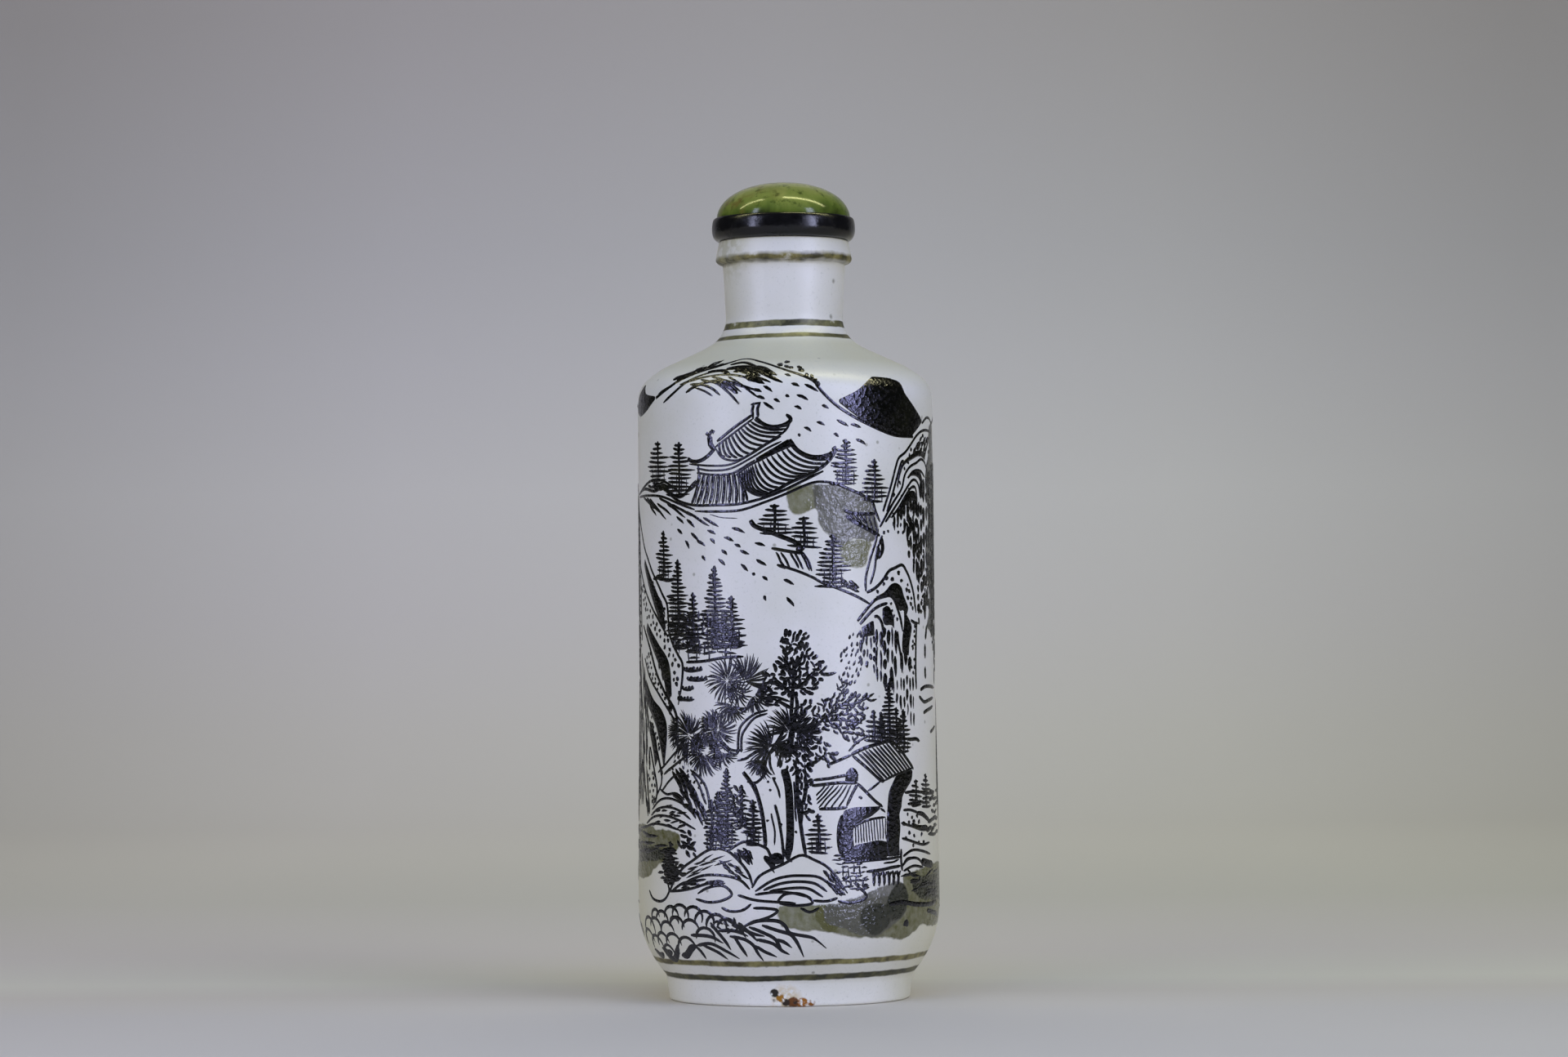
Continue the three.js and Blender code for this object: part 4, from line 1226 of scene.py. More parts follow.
for side in (0, 0.35):
    line(trees, [(-8, 25.4 + side), (-6.6, 25.1 + side), (-5.7, 24.4 + side), (-5, 24.2 + side),
                 (-4.7 + side, 24.6)], 0.24)
    line(trees, [(-4.8 + side, 24.4), (-4.8 + side, 25.8), (-4.5 + side, 26.9 - side),
                 (-3.2, 28 - side), (-1.9, 28.4 - side)], 0.24)
for stroke in (
    [(-0.3, 26.6), (-1, 25.4), (-1.9, 24), (-2.4, 23), (-3, 22.2)],
    [(0.3, 26.6), (0, 25.2), (-0.6, 24.2), (-1, 23)],
    [(-4.9, 23.6), (-4, 23.8), (-3.4, 24.3)],
    [(-4.6, 28.1), (-3.2, 29), (-1.4, 29.6), (0.2, 29.2)],
):
    line(trees, stroke, 0.26)
leaves(trees, [(-2.6, 30.2), (-2.3, 31.9), (-1.2, 32.2), (-1, 33.2), (-0.5, 34), (-0.9, 35.2),
               (0.1, 36), (1, 35.8), (2.2, 35.6), (2, 34.2), (3, 33.2), (4, 32.2), (3.2, 31.2),
               (2.6, 30.3), (2.3, 29.6), (0.6, 29.8), (-1.2, 30), (-2.4, 29.5)], (0.6, 30.6), 0.52)
leaves(trees, [(-0.4, 30.2), (-0.3, 34.4), (1.2, 34.9), (1.6, 32.6), (1.8, 30.2)],
       (0.6, 29), 0.8, width=0.3)
leaves(trees, [(0.4, 28.9), (2.6, 29.4), (2.4, 27.2), (3, 26.2), (3.6, 25.2), (4.6, 24.6), (4.4, 22.6),
               (3, 23.6), (2.2, 22.4), (2, 19.8), (2.3, 17.7), (1.2, 18.2), (1, 22), (0.4, 24)],
       (0.4, 25.4), 0.55)
leaves(trees, [(-0.9, 22.8), (-0.8, 25.2), (1.2, 25.6), (1.4, 21.8), (0.5, 22.2)],
       (0.2, 20), 0.6, width=0.28)
leaves(trees, [(-2.4, 28.6), (-1.4, 29.8), (-0.6, 29.4), (-1.4, 28.4)], (0.4, 28), 0.5)
flicks(trees, [
    (0.3, 28, 0.5, 33.6), (0.4, 29.8, -1.4, 31.6), (0.4, 30.4, 2.6, 31.8), (0.4, 31.8, -0.5, 33.6),
    (0.5, 32.2, 1.6, 34), (0.3, 28.6, -1.6, 29.6), (3.2, 31.8, 4.8, 31.9), (0.9, 28.4, 0.6, 30.2),
    (0.3, 24.2, 0.2, 28.4), (1.4, 19.4, 1.6, 23.4), (1.6, 23, 3.6, 24.2),
], 0.34, 0.05, 0.6, (0.15, -0.1))
leaves(trees, [(2.6, 26.4), (2.6, 28.6), (3.6, 29.6), (4.6, 30), (6.2, 30.2), (7.8, 29.6), (8.2, 28.4),
               (7.4, 27.2), (7.8, 26.4), (6.8, 25.2), (5, 25.6), (4.2, 26.4)],
       (3.6, 27), 0.5, (0.5, 0.9), 0.28)
leaves(trees, [(4.6, 30.2), (4.8, 31.4), (5.9, 31), (5.9, 30.2)], (5.2, 29.6), 0.5, width=0.2)
for stroke in (
    [(2, 26.4), (3.4, 27.4), (5, 28.6), (6.4, 29.6)], [(3.4, 27.2), (5.2, 27.4), (7.4, 27)],
    [(4.6, 28.2), (4.8, 29.4)], [(5.4, 28.8), (7, 29), (8.8, 29.9)],
    [(7.6, 29.6), (8.3, 29.2), (9.1, 29.3)],
):
    line(trees, stroke, 0.24)
lines(trees, [
    (0.36, (-4.3, 22.5), (-3.6, 21.6), (-3, 20.5), (-2.6, 19), (-2.35, 17.4), (-2.2, 16), (-2.2, 15.2)),
    (0.26, (-3.9, 21.6), (-3.1, 21.5), (-2.3, 22.2), (-1.9, 22.7)),
    (0.2, (-3.3, 21.6), (-2.8, 20.2), (-2.5, 18.8)),
    (0.26, (-1.3, 19.4), (-0.9, 18), (-0.65, 16.2), (-0.5, 14.2)),
    (0.18, (-1.6, 18.6), (-1.35, 17), (-1.3, 15.6)),
    (0.2, (-1.5, 22), (-1, 21), (-0.8, 20)),
    (0.62, (-0.4, 22.8), (0, 21.2), (0.12, 19), (0.12, 16.5), (-0.1, 14.2)),
    (0.34, (0.85, 23), (0.85, 20.4), (1.05, 18.2), (1.3, 16.2), (1.6, 14.4)),
    (0.24, (0.95, 20.2), (1.3, 19), (1.2, 17.4)),
    (0.2, (0.55, 21.6), (0.62, 19.6), (0.72, 17.8)),
    (0.3, (-0.6, 15.4), (-0.2, 14.4), (0.3, 14)),
], 0.05, 0.15)
dots(trees, [(-1.9, 21.6), (-1.3, 21.9), (-1.7, 20.8), (-0.7, 17.5), (0.7, 16.8), (-2, 17.9)], 0.28)
for place in (
    (2.8, 14.8, 18.4, 0.9), (-6, 15.4, 22.8, 0.8), (-4.5, 17.4, 21.2, 0.6), (-3.4, 15.6, 19.8, 0.8),
    (-7.6, 15.2, 19.8, 0.7), (-6.9, 16, 20.6, 0.7), (14.5, 19, 21.4, 0.9), (16.6, 18.8, 21.9, 1.1),
    (-12.8, 12, 15.7, 1), (8.7, 25.3, 28.2, 0.8), (10.6, 25.2, 30.8, 0.9), (12.6, 24.2, 28.2, 0.9),
    (11.6, 25, 28.4, 0.8), (9.6, 25.2, 28, 0.7),
):
    fir(trees, *place)
hatched(trees, [(-8.4, 15.4), (-8.2, 19), (-6.6, 20.6), (-4, 20.4), (-2.9, 18), (-2.8, 15.8)],
        (1, 0.62), (0.7, 1.2), 2, 0.2)
hatched(trees, [(-7.6, 18.6), (-6.4, 21.4), (-4.2, 20.8), (-4.6, 18.4), (-5.6, 17.8)],
        (0.7, 0.6), (0.7, 1.2), -55, 0.3)
hatched(trees, [(4.2, 11.4), (4.6, 14.6), (7.4, 13.9), (7.6, 11.2)], (0.7, 0.42), (0.6, 1.1), 4, 0.2)
hatched(trees, [(4.4, 11.2), (4.6, 13.8), (7.2, 13.2), (7.6, 11)],
        (0.6, 1), (0.8, 1.2), 90, 0.18, spread=0.05)
enamel_piece("trees", trees)


# --- Lakeside house --------------------------------------------------------------------------
# A house on stilts: two striped roofs seen from above, dark walls in solid enamel with a slatted
# window left open in them, and a platform over the water.
house = []
lines(house, [
    (0.34, (6.2, 24.1), (7.8, 24.7), (9.4, 25.1), (10.9, 25.4)),
    (0.3, (6.3, 24), (7.8, 22.8), (9.3, 21.6), (9.9, 21.5)),
    (0.24, (10.9, 25.4), (12.6, 24), (14.1, 22.6)),
    (0.28, (3.8, 23.1), (5, 23.6), (6.2, 24)),
    (0.22, (5.9, 24.4), (6.8, 25.2), (8.2, 25.9)),
    (0.24, (9.4, 21.5), (8.7, 21), (7.9, 20.6)),
    (0.24, (9.9, 21.5), (11.2, 22), (12.6, 22.3), (14, 22.6)),
    (0.28, (2.4, 21.7), (3.8, 21.8), (5.4, 22.1), (6.9, 22.1)),
    (0.3, (2.2, 21.2), (3.8, 21.3), (5.4, 21.4), (6.8, 21.4)),
    (0.36, (2, 21.2), (2.3, 21.5), (2.1, 21.8)),
    (0.3, (2.9, 18.95), (4.2, 18.95), (5.7, 19.05)),
    (0.3, (6.8, 21.3), (7.8, 20.4), (8.7, 19.6), (9.6, 19)),
    (0.28, (6.8, 21.2), (6.2, 20.3), (5.6, 19.2)),
    (0.26, (6.9, 20), (7.3, 19.9)),
    (0.22, (9.3, 18.9), (9.9, 18.5)),
    (0.26, (5.2, 13.85), (7.4, 13.9), (9.6, 14), (12, 14.2)),
    (0.3, (7.6, 12.9), (9.4, 13), (10.6, 13.2), (11.8, 13.3)),
    (0.3, (11.9, 14.9), (11.9, 13.8), (12, 12.8)),
    (0.2, (9.6, 13.6), (10.6, 13.7), (11.6, 13.9)),
])
tiled_roof(house, [(6.9, 24.2), (10.9, 25.4)], [(9.9, 21.5), (14.1, 22.5)], 11, (0, 0), 0.25)
tiled_roof(house, [(3.5, 21.2), (6.6, 21.2)], [(2.6, 20.2), (3, 19), (5.6, 19.1)], 8, (0, -0.05), 0.17)
filled(house, [(14.1, 22.6), (13.8, 21.5), (12.9, 20.6), (12.3, 19.9), (12.1, 18.9), (11.8, 18.2),
               (11.9, 17), (11.7, 15.4), (11.8, 14.2)],
       [(11.5, 22.2), (10.9, 21.3), (10.4, 20.5), (10.2, 19.4), (10.1, 18.4), (10, 17.2), (9.95, 15.8),
        (9.9, 14.1)])
filled(house, [(5.4, 21.4), (6.2, 21.4), (6.9, 21.5)], [(5.6, 22.4), (6.2, 22.9), (6.9, 22.5)])
filled(house, [(5, 18), (6.3, 17), (7.2, 17.7), (8.2, 18.1), (9.3, 18.8)],
       [(5.3, 18.8), (6.4, 19.1), (7.4, 19.1), (8.4, 19.1), (9.4, 19.1)], THIN_HEIGHT)
filled(house, [(5, 18.6), (4.6, 17.4), (4.5, 16), (4.7, 14.8), (5.2, 13.9)],
       [(6.6, 17.9), (6.4, 17.2), (6.3, 16.4), (6.4, 15.2), (6.6, 14)], THIN_HEIGHT)
filled(house, [(6.2, 15.5), (7.6, 15.7), (9, 15.9), (10.2, 15.7)],
       [(6.2, 13.9), (7.6, 13.95), (9, 14), (10.2, 14.1)], THIN_HEIGHT)
tiled_roof(house, [(6.5, 17.4), (8, 17.9), (9.9, 18)], [(6.5, 15.6), (9.9, 15.9)], 12, (0, 0), 0.15)
line(house, [(6.5, 17.3), (7.8, 17.8), (9.9, 18)], 0.24)
for left in (8.3, 8.9, 9.5, 10.1, 10.7, 11.3):
    line(house, [(left, 12.9), (left + 0.15, 12.2), (left + 0.1, 11.5)], 0.34)
    line(house, [(left + 0.45, 12.8), (left + 0.2, 12.4)], 0.26)
hatched(house, [(5.2, 11.2), (5.4, 12.6), (8, 12.7), (7.6, 11.2)], (0.8, 0.5), (0.5, 1), 6, 0.24)
enamel_piece("lakeside_house", house)


# --- Rocks, banks and grass ------------------------------------------------------------------
# The near shore: folded mounds, rounded boulders ringed by parallel lines, dashes of rippling
# water and a clump of grass that hangs over the foot of the picture.
shore = []
for arc in (
    [(-13, 10.9), (-12.2, 12.1), (-11, 13.3), (-9.8, 14), (-7.8, 15.1), (-6.2, 15.1), (-5, 14.3),
     (-3.9, 13), (-3.4, 11.6)],
    [(-10.9, 11.8), (-9.5, 12.4), (-8, 12.7), (-6, 12.6), (-4.6, 12.2), (-3.7, 11.4)],
    [(-12.6, 11), (-11.2, 11.8), (-9.9, 12), (-8.2, 12.3)],
    [(-5.9, 15), (-4.2, 15.9), (-2.3, 15.4), (-1.8, 14.8), (-1.6, 13.8)],
    [(-3.5, 11.5), (-2.8, 12.6), (-1.6, 13.3), (-0.5, 13.8), (1.1, 14.6), (2.4, 14.1), (3.5, 13.5),
     (4.4, 12.6), (5.6, 10.9)],
    [(-3.2, 11.2), (-1.6, 12.2), (-0.2, 12.6), (1.2, 12.65), (2.7, 12.5), (3.8, 11.8), (4.6, 10.8)],
    [(-2.4, 11.3), (-0.8, 11.9), (0.8, 12.1), (2.4, 11.9), (3.6, 11.1)],
    [(-1.8, 11.2), (0.2, 11.5), (1.8, 11.4), (3.2, 10.6)],
    [(-3.2, 10.9), (-1.4, 11.1), (0.4, 11), (2, 10.6)],
    [(-16.8, 10.9), (-16, 10.2), (-14.6, 10), (-13.6, 10.3), (-13, 11), (-13.2, 11.7)],
    [(-9.4, 10.4), (-7.9, 10.1), (-6.4, 10.3), (-5.5, 10.9), (-6.4, 11.7), (-8, 11.5), (-9.2, 10.9)],
    [(-13, 11), (-11.4, 11.1), (-9.8, 11.4), (-8, 11.9), (-6.4, 12)],
    [(-4.9, 10.8), (-3.4, 10.4), (-1.2, 10.2), (0.6, 10)],
    [(-6.6, 9.6), (-5.6, 9.3), (-4.4, 9.4), (-3.6, 10)],
    [(-3.4, 9.6), (-2.2, 9.6), (-1.1, 9.4), (-1.8, 8.8), (-3.6, 8.2), (-4.4, 7.8)],
    [(-1.1, 10.2), (-0.4, 10.9), (0.8, 11), (1.8, 10.6), (2.1, 10), (0.6, 9.8), (-0.9, 10)],
    [(1, 9.6), (1.9, 9.2), (2.8, 9.6)],
    [(4.6, 10.2), (5.6, 10), (6.8, 10.1), (7.6, 10.6), (6.2, 11.9)],
    [(2.2, 10.3), (3.6, 10.2), (4.6, 10.5)],
):
    line(shore, arc, 0.26)
streaks(shore, [(-5.4, 14.8), (-4.2, 15.2), (-2.8, 14.8), (-2, 14.4)], 12, (0.8, 1.6), 0.7, 0.4)
hatched(shore, [(-11.6, 13), (-9.6, 14), (-7.2, 14.6), (-6.2, 13.8), (-8.6, 13), (-10.8, 12.2)],
        (1.3, 0.4), (1.2, 2.2), 22, 0.22)
hatched(shore, [(-6.6, 14.4), (-4.6, 13.6), (-3.6, 12), (-5, 12.6), (-6.4, 13.2)],
        (0.8, 0.34), (0.8, 1.4), -30, 0.28)
hatched(shore, [(3.4, 13.2), (4.4, 12.4), (5.4, 11), (4.4, 10.9), (3.6, 12)],
        (0.4, 0.4), (0.8, 1.3), -50, 0.3)
hatched(shore, [(-12.4, 11.2), (-9.6, 12.3), (-6.4, 12.3), (-4.4, 11.8), (-6.2, 11.9), (-9.4, 11.6)],
        (1, 0.3), (0.9, 1.6), 8, 0.26)
filled(shore, [(-1.9, 14), (-1.2, 13.7), (-0.4, 13.9)], [(-1.9, 14.6), (-1.2, 14.9), (-0.5, 14.7)])

for arc in (
    [(-14.3, 20.6), (-13, 21.6), (-11.6, 22.3), (-10.2, 22)],
    [(-16.2, 18.8), (-14.6, 19.7), (-12.8, 19.9), (-11, 19.4), (-9.6, 18.4)],
    [(-17.6, 17.4), (-15.6, 18.1), (-13.4, 18.2), (-11.4, 17.8), (-9.4, 17)],
    [(-16.4, 18.2), (-14.8, 18.9), (-13, 19.1), (-11.4, 18.7), (-10, 17.9)],
    [(-19.8, 16.9), (-17.6, 17.1), (-15.6, 17.4), (-13.4, 17.3), (-11.4, 16.9)],
    [(-14.6, 20.8), (-13.4, 20.3), (-12, 20.4), (-10.8, 19.8)],
    [(-15, 22.4), (-13.6, 23.2), (-12, 24.4), (-11, 24.8)],
    [(-9.8, 22.4), (-8.8, 20.8), (-8.2, 19.4)],
    [(-16, 19.2), (-15.2, 20.2), (-14.4, 21.2), (-14.3, 22.2)],
):
    line(shore, arc, 0.24)
hatched(shore, [(-16, 18.4), (-13, 19.6), (-10.4, 18.9), (-9.2, 17.2), (-12, 17.2), (-16, 17.2)],
        (1.5, 0.5), (0.7, 1.4), 2, 0.24)
dots(shore, scattered([(-13.6, 22.4), (-11.2, 24.6), (-9.6, 23.6), (-8.4, 21.6), (-8.6, 18.4),
                       (-9.6, 20.6), (-10.8, 22.8)], (0.75, 0.62)), 0.36)
flicks(shore, [
    (-12.6, 22.5, -10.9, 19.9), (-12.1, 22.8, -10.2, 19.4), (-11.6, 22.9, -9.8, 20.2),
    (-11.3, 22.4, -9.2, 18.9), (-10.9, 22.1, -8.6, 18.4), (-10.6, 21.3, -8.2, 17.6),
    (-11.5, 20.8, -9.7, 18.6), (-12.6, 20.4, -10.7, 19), (-10.2, 20.4, -8, 18), (-9.9, 19, -8.6, 17.4),
    (-10.9, 19.4, -9.4, 18),
], 0.42, 0.2, 0.45, (0.2, 0.2))
lines(shore, [
    (0.26, (-13.9, 22.2), (-12.6, 22.9), (-11.4, 23.6), (-10.2, 24.2)),
    (0.26, (-10.1, 22.7), (-9, 22), (-8.3, 21.2), (-7.9, 20), (-7.8, 18.6)),
])
hatched(shore, [(-11.8, 15), (-11, 16.9), (-9.8, 16.6), (-9.2, 14.2)],
        (0.6, 0.5), (0.6, 1.1), -30, 0.36, spread=0.5)
hatched(shore, [(-23, 14.6), (-23, 16.6), (-14, 16.6), (-13.2, 14.6)], (2.4, 0.85), (2, 3.6), 3, 0.3)
hatched(shore, [(-14, 12.4), (-13.8, 15), (-12, 15.2), (-11.8, 12.6)], (0.7, 0.5), (0.8, 1.3), 2, 0.36)
hatched(shore, [(-14.6, 13.4), (-11.4, 13.9), (-10.8, 12.4), (-13.8, 11.4)],
        (0.7, 0.42), (0.7, 1.2), 6, 0.34)

for arc in (
    [(12.3, 18.6), (13.6, 18.6), (15.6, 18), (17, 17.4)],
    [(12, 17.4), (13.4, 17.1), (15.4, 16.6), (17.4, 16.6)],
    [(12.2, 14.2), (13.6, 14.7), (15.4, 14.6), (17.4, 14.2)],
    [(11.9, 13.2), (13, 13.9), (14.4, 13.9), (15.6, 13.3)],
    [(12, 15.9), (13.6, 15.6), (15.6, 15.2), (17.2, 15.3)],
    [(12.2, 12.8), (13.8, 13.2), (15.6, 13)],
):
    line(shore, arc, 0.26)
dots(shore, [(13, 18.2), (13.7, 17.9), (14, 17.5), (13.2, 17.4), (12.4, 17.3), (14.9, 17.4), (14.6, 18),
             (12.7, 15.9), (14, 16.1), (13.8, 15.2), (14.8, 15.4), (15.8, 15.4), (15.4, 16.2),
             (13.2, 16.4)], 0.42)
lines(shore, [
    (0.44, (13.6, 17.2), (14.8, 16.9), (16.8, 16.8)),
    (0.4, (14.6, 18.3), (15.8, 18.1), (17.4, 17.4)),
    (0.7, (15.2, 13.5), (16.4, 13.4), (18, 13.1)),
    (0.28, (12.6, 20.3), (14.6, 20.3), (17.2, 20.2)),
    (0.3, (13, 19.2), (14.4, 19.2), (15.6, 19.4)),
    (0.26, (12.8, 12.9), (13.6, 12.3), (14.4, 12.2)),
    (0.24, (13.2, 11.6), (14.6, 11.7), (14.9, 12.1)),
    (0.3, (14.8, 11.2), (16.6, 11.3), (19, 11.2)),
    (0.34, (15.8, 10.3), (17.4, 10.5), (20, 10.4)),
    (0.4, (16.4, 8.8), (17.8, 8.6), (20, 8.2)),
    (0.4, (10.2, 9.7), (12, 9.8), (14, 9.5), (17, 9.4), (19, 9.6)),
    (0.3, (12.2, 13.4), (12.8, 13.9), (13.6, 14)),
])
hatched(shore, [(17, 15.4), (20.6, 15.4), (20.6, 20.6), (17.8, 20.2), (17.6, 18)],
        (1.3, 0.7), (1.2, 2.4), 3, 0.4)
hatched(shore, [(12.6, 12.4), (12.8, 10.8), (20.6, 9.2), (20.6, 12.8), (15, 12.8)],
        (2.2, 0.8), (1.3, 2.8), 0, 0.26)
for stroke in (
    [(15.8, 30.1), (17.4, 30.5), (20.2, 30.3)],
    [(15.5, 29.5), (16.6, 29), (17.8, 29.1), (19.6, 29.3)],
    [(16.4, 27.9), (17.8, 28.2), (19.4, 28.5)],
    [(18.2, 26), (20.4, 26.5)],
    [(13.2, 25.4), (14.6, 25.4), (15.4, 25.2)],
):
    line(shore, stroke, 0.34)
dots(shore, [(12.6, 7.75), (12.8, 7.75)], 0.6)

GRASS_SCALES = (
    (-17.4, 7.1, 1.3), (-15.9, 7.3, 1.1), (-14.4, 8, 1.1), (-12.8, 8.5, 1.1), (-11.5, 8.7, 1.1),
    (-9.8, 8.6, 1.1), (-8.5, 8.2, 1.1), (-7.2, 7.9, 1.1), (-6.1, 7.6, 1), (-13.7, 7, 1.1),
    (-12.1, 7.5, 1.1), (-10.3, 7.3, 1.1), (-8.6, 6.6, 1.1), (-14.9, 5.9, 1.1), (-13.1, 5.8, 1.2),
    (-11.2, 5.4, 1.3), (-16.4, 5.5, 1.2), (-14.4, 4.9, 0.9), (-18.2, 5.9, 1.3), (-12.4, 8, 0.6),
    (-15.6, 8.4, 0.8),
)
for along, up, reach in GRASS_SCALES:
    angle = np.radians(np.linspace(random.uniform(165, 200), random.uniform(-35, 10), 12))
    brush(shore, np.stack([along + reach * np.cos(angle), up + 0.95 * reach * np.sin(angle)], -1),
          0.3, 0.2, 0.3)
GRASS_BLADES = (
    ((-4.3, 7.9), (-3, 8.4), (-1.2, 8.4), (-0.4, 7.9), (0.1, 7.2), (2, 6.8), (2.6, 6.5), (3.6, 5.7)),
    ((-3.9, 7.8), (-2.4, 7.2), (-1.4, 6.7), (-1, 6), (-0.8, 5.4)),
    ((-2.6, 8), (-1.2, 7.5), (0, 7.1), (0.6, 6.5), (1, 5.8), (1.4, 4.9)),
    ((-3.3, 6.6), (-1.6, 6.2), (-0.7, 5.5), (0, 5.1)),
    ((-5.9, 6.9), (-4.4, 6.6), (-3.5, 6), (-3.2, 5.3), (-2.7, 4.5)),
    ((-5.4, 6.9), (-4.8, 5.8), (-4.3, 4.9)),
    ((-3.4, 6), (-2.4, 5.4), (-1.3, 4.9)),
    ((-4.9, 8.2), (-4, 7.4), (-3.1, 6.4)),
    ((-9.8, 5.9), (-8, 6.1), (-6.4, 5.4), (-5.2, 4.7)),
    ((-9.9, 5.8), (-9.4, 5.2), (-9.1, 4.6)),
    ((-9, 5.9), (-7.4, 5.3), (-6.5, 4.6)),
    ((-7.8, 8.2), (-6.6, 6.6), (-5.9, 5.6)),
    ((-10.3, 6.9), (-8, 6.8), (-6.6, 6.2)),
    ((-7, 7.4), (-5.2, 7.4), (-4, 6.9)),
    ((-6.2, 8.6), (-5, 7.9), (-4.2, 6.7)),
    ((-1.4, 6.6), (-0.6, 6.4), (0.2, 5.8)),
    ((-5.6, 8), (-3.8, 7.3), (-2.4, 6.9)),
)
for blade in GRASS_BLADES:
    line(shore, blade, 0.32, 0.1, 0.4)
hatched(shore, [(-7.8, 7), (-7.2, 8.4), (-4.9, 8.3), (-4.6, 7)],
        (0.6, 0.55), (0.5, 1), -50, 0.26, spread=0.7)
for stroke in (
    [(-15.3, 5.1), (-14.6, 4.5), (-13.8, 4.4), (-12.9, 5.2), (-12.5, 5.9)],
    [(-12.4, 4.8), (-11.6, 4.9), (-10.6, 5.6), (-9.8, 5.9)],
    [(-15.6, 5.4), (-14.6, 5), (-13.8, 5.1)],
    [(-17.8, 5.2), (-16.8, 4.6), (-15.8, 4.9)],
):
    line(shore, stroke, 0.6, 0.2, 0.3)
enamel_piece("shore", shore)


# --- Back of the landscape -------------------------------------------------------------------
# The hidden half of the picture, plainer than the front and in the same hand: the cliffs step
# down to a lake with an island, firs, rocks, ripples and grass. It runs once round the back.
back = []
# The round top of a rock of half width and height one.
ARCH = np.array([(-1, 0.3), (-0.85, 0.66), (-0.5, 0.9), (-0.05, 1), (0.4, 0.95), (0.75, 0.76),
                 (1, 0.34)])


def cliff(drawing, along, foot, top, half):
    """A round-topped rock: two arches with moss between them, a solid shadow under the inner one
    and broken strokes that fall from it towards the foot."""
    tall = top - foot
    outer = ARCH * (half, tall) + (along, foot) + random.normal(0, 0.12, ARCH.shape)
    inner = outer - (0.0, 1.3) + (along - outer[:, :1]) * (0.26, 0.0)
    line(drawing, outer, 0.3, 0.05, 0.1)
    line(drawing, inner, 0.26, 0.05, 0.1)
    moss(drawing, [*outer, *inner[::-1]], 0.8, 0.38)
    shade = inner[1:-1] - (0.0, 0.35)
    filled(drawing, shade - (0.0, 1.1) + (along - shade[:, :1]) * (0.1, 0.0), shade)
    end = [(shade[0, 0], foot + 0.1 * tall), (along, foot + 0.25 * tall), (shade[-1, 0], foot)]
    rain(drawing, shade - (0.0, 1.0), end, int(half * 2.4), (0.8, 2.2), 0.4, 0.4)


def mound(drawing, along, up, half, rise, count):
    """A low rock: nested arcs that share a foot."""
    angle = np.linspace(0.05, math.pi - 0.05, 8)
    lean = random.uniform(-0.35, 0.35) * half
    for part in np.linspace(1.0, 0.4, count):
        x = lean * np.sin(angle) ** 2 - half * part ** 0.5 * np.cos(angle)
        arc = np.stack([x, rise * part * np.sin(angle) ** 0.8], -1)
        line(drawing, arc + (along, up) + random.normal(0, 0.11, arc.shape), 0.28, 0.1, 0.2)


for place in (
    (22.6, 28, 52.4, 3.2), (26.6, 22, 46, 3), (30.4, 18, 38.6, 2.6), (-22.8, 27, 50.6, 3.3),
    (-26.6, 22, 43.4, 3), (-30.2, 18, 35, 2.6), (-23, 15, 30.4, 2.8), (23.4, 14.8, 29, 2.6),
    (-48.6, 37, 51.4, 2.7), (-44.4, 36, 47.4, 2.3), (-52.2, 37, 46.4, 1.9),
):
    cliff(back, *place)
for crest in (
    [(-20.4, 57.8), (-23.5, 58.6), (-27, 59.6), (-30.5, 59), (-34, 57.4), (-38, 56.8), (-42, 58),
     (-46.5, 58.8), (-51, 57.6), (-55, 56.2), (-58.5, 57), (-62, 58.6), (-66, 57.6), (-70.6, 56.2)],
    [(-24, 57), (-27.4, 58.2), (-30.4, 57.6), (-33, 56.2)],
    [(-40, 55.8), (-43, 57), (-46.4, 57.6), (-49.6, 56.4)],
    [(-58.4, 55.6), (-61.8, 57.2), (-65, 56.4)],
):
    line(back, crest, 0.3, 0.02, 0.02)
filled(back, [(-55.2, 56.3), (-51, 57.7), (-46.5, 58.9), (-42.6, 58.3)],
       [(-55, 56.6), (-52.8, 58.4), (-50.6, 60.4), (-49.2, 60.9), (-47.4, 60.2), (-45, 59),
        (-42.6, 58.5)])
for rim in (
    [(-24, 56.8), (-29, 58.2), (-33.5, 55.8), (-30, 54), (-25, 53.6)],
    [(-40, 55.4), (-46, 57.2), (-50, 56), (-44, 55.2)],
    [(-57.6, 55), (-62, 57), (-66, 55.8), (-64, 53.4), (-58.6, 53.2)],
):
    hatched(back, rim, (1.7, 0.9), (0.6, 1.2), -28, 0.28)
for place in (
    (-34.6, 44, 50, 1.2), (-32.4, 43.6, 48, 1), (-36.4, 43.6, 47.4, 0.9), (-56.4, 42, 48.4, 1.2),
    (-58.6, 42.2, 46.6, 1), (-34.4, 20.6, 27.4, 1.2), (-36.2, 20.4, 25.6, 1), (-32.8, 20.6, 25, 1),
    (-45, 29.6, 36.4, 1.2), (-47.2, 29.4, 34.6, 1), (-43, 29.4, 33.8, 1), (-57.4, 19, 26.2, 1.2),
    (-55.6, 18.8, 24, 1), (-59, 19, 23.4, 0.9),
):
    fir(back, *place)
for slope in (
    [(-31, 44.6), (-33, 44.2), (-36, 43.6), (-40, 42.2), (-44, 41.8)],
    [(-61, 42.8), (-58, 42.4), (-54.6, 41.8), (-50.6, 41.4)],
    [(-40.6, 28.6), (-43, 29.6), (-46, 29.8), (-49, 29.2), (-51.4, 28.2)],
    [(-41.6, 28), (-45, 28.8), (-48.6, 28.5)],
    [(-31.4, 20.4), (-34, 20.6), (-37.4, 20), (-39, 19.2)],
    [(-53.6, 18.2), (-56, 18.8), (-59.4, 19), (-62, 18.6)],
):
    line(back, slope, 0.28, 0.1, 0.2)
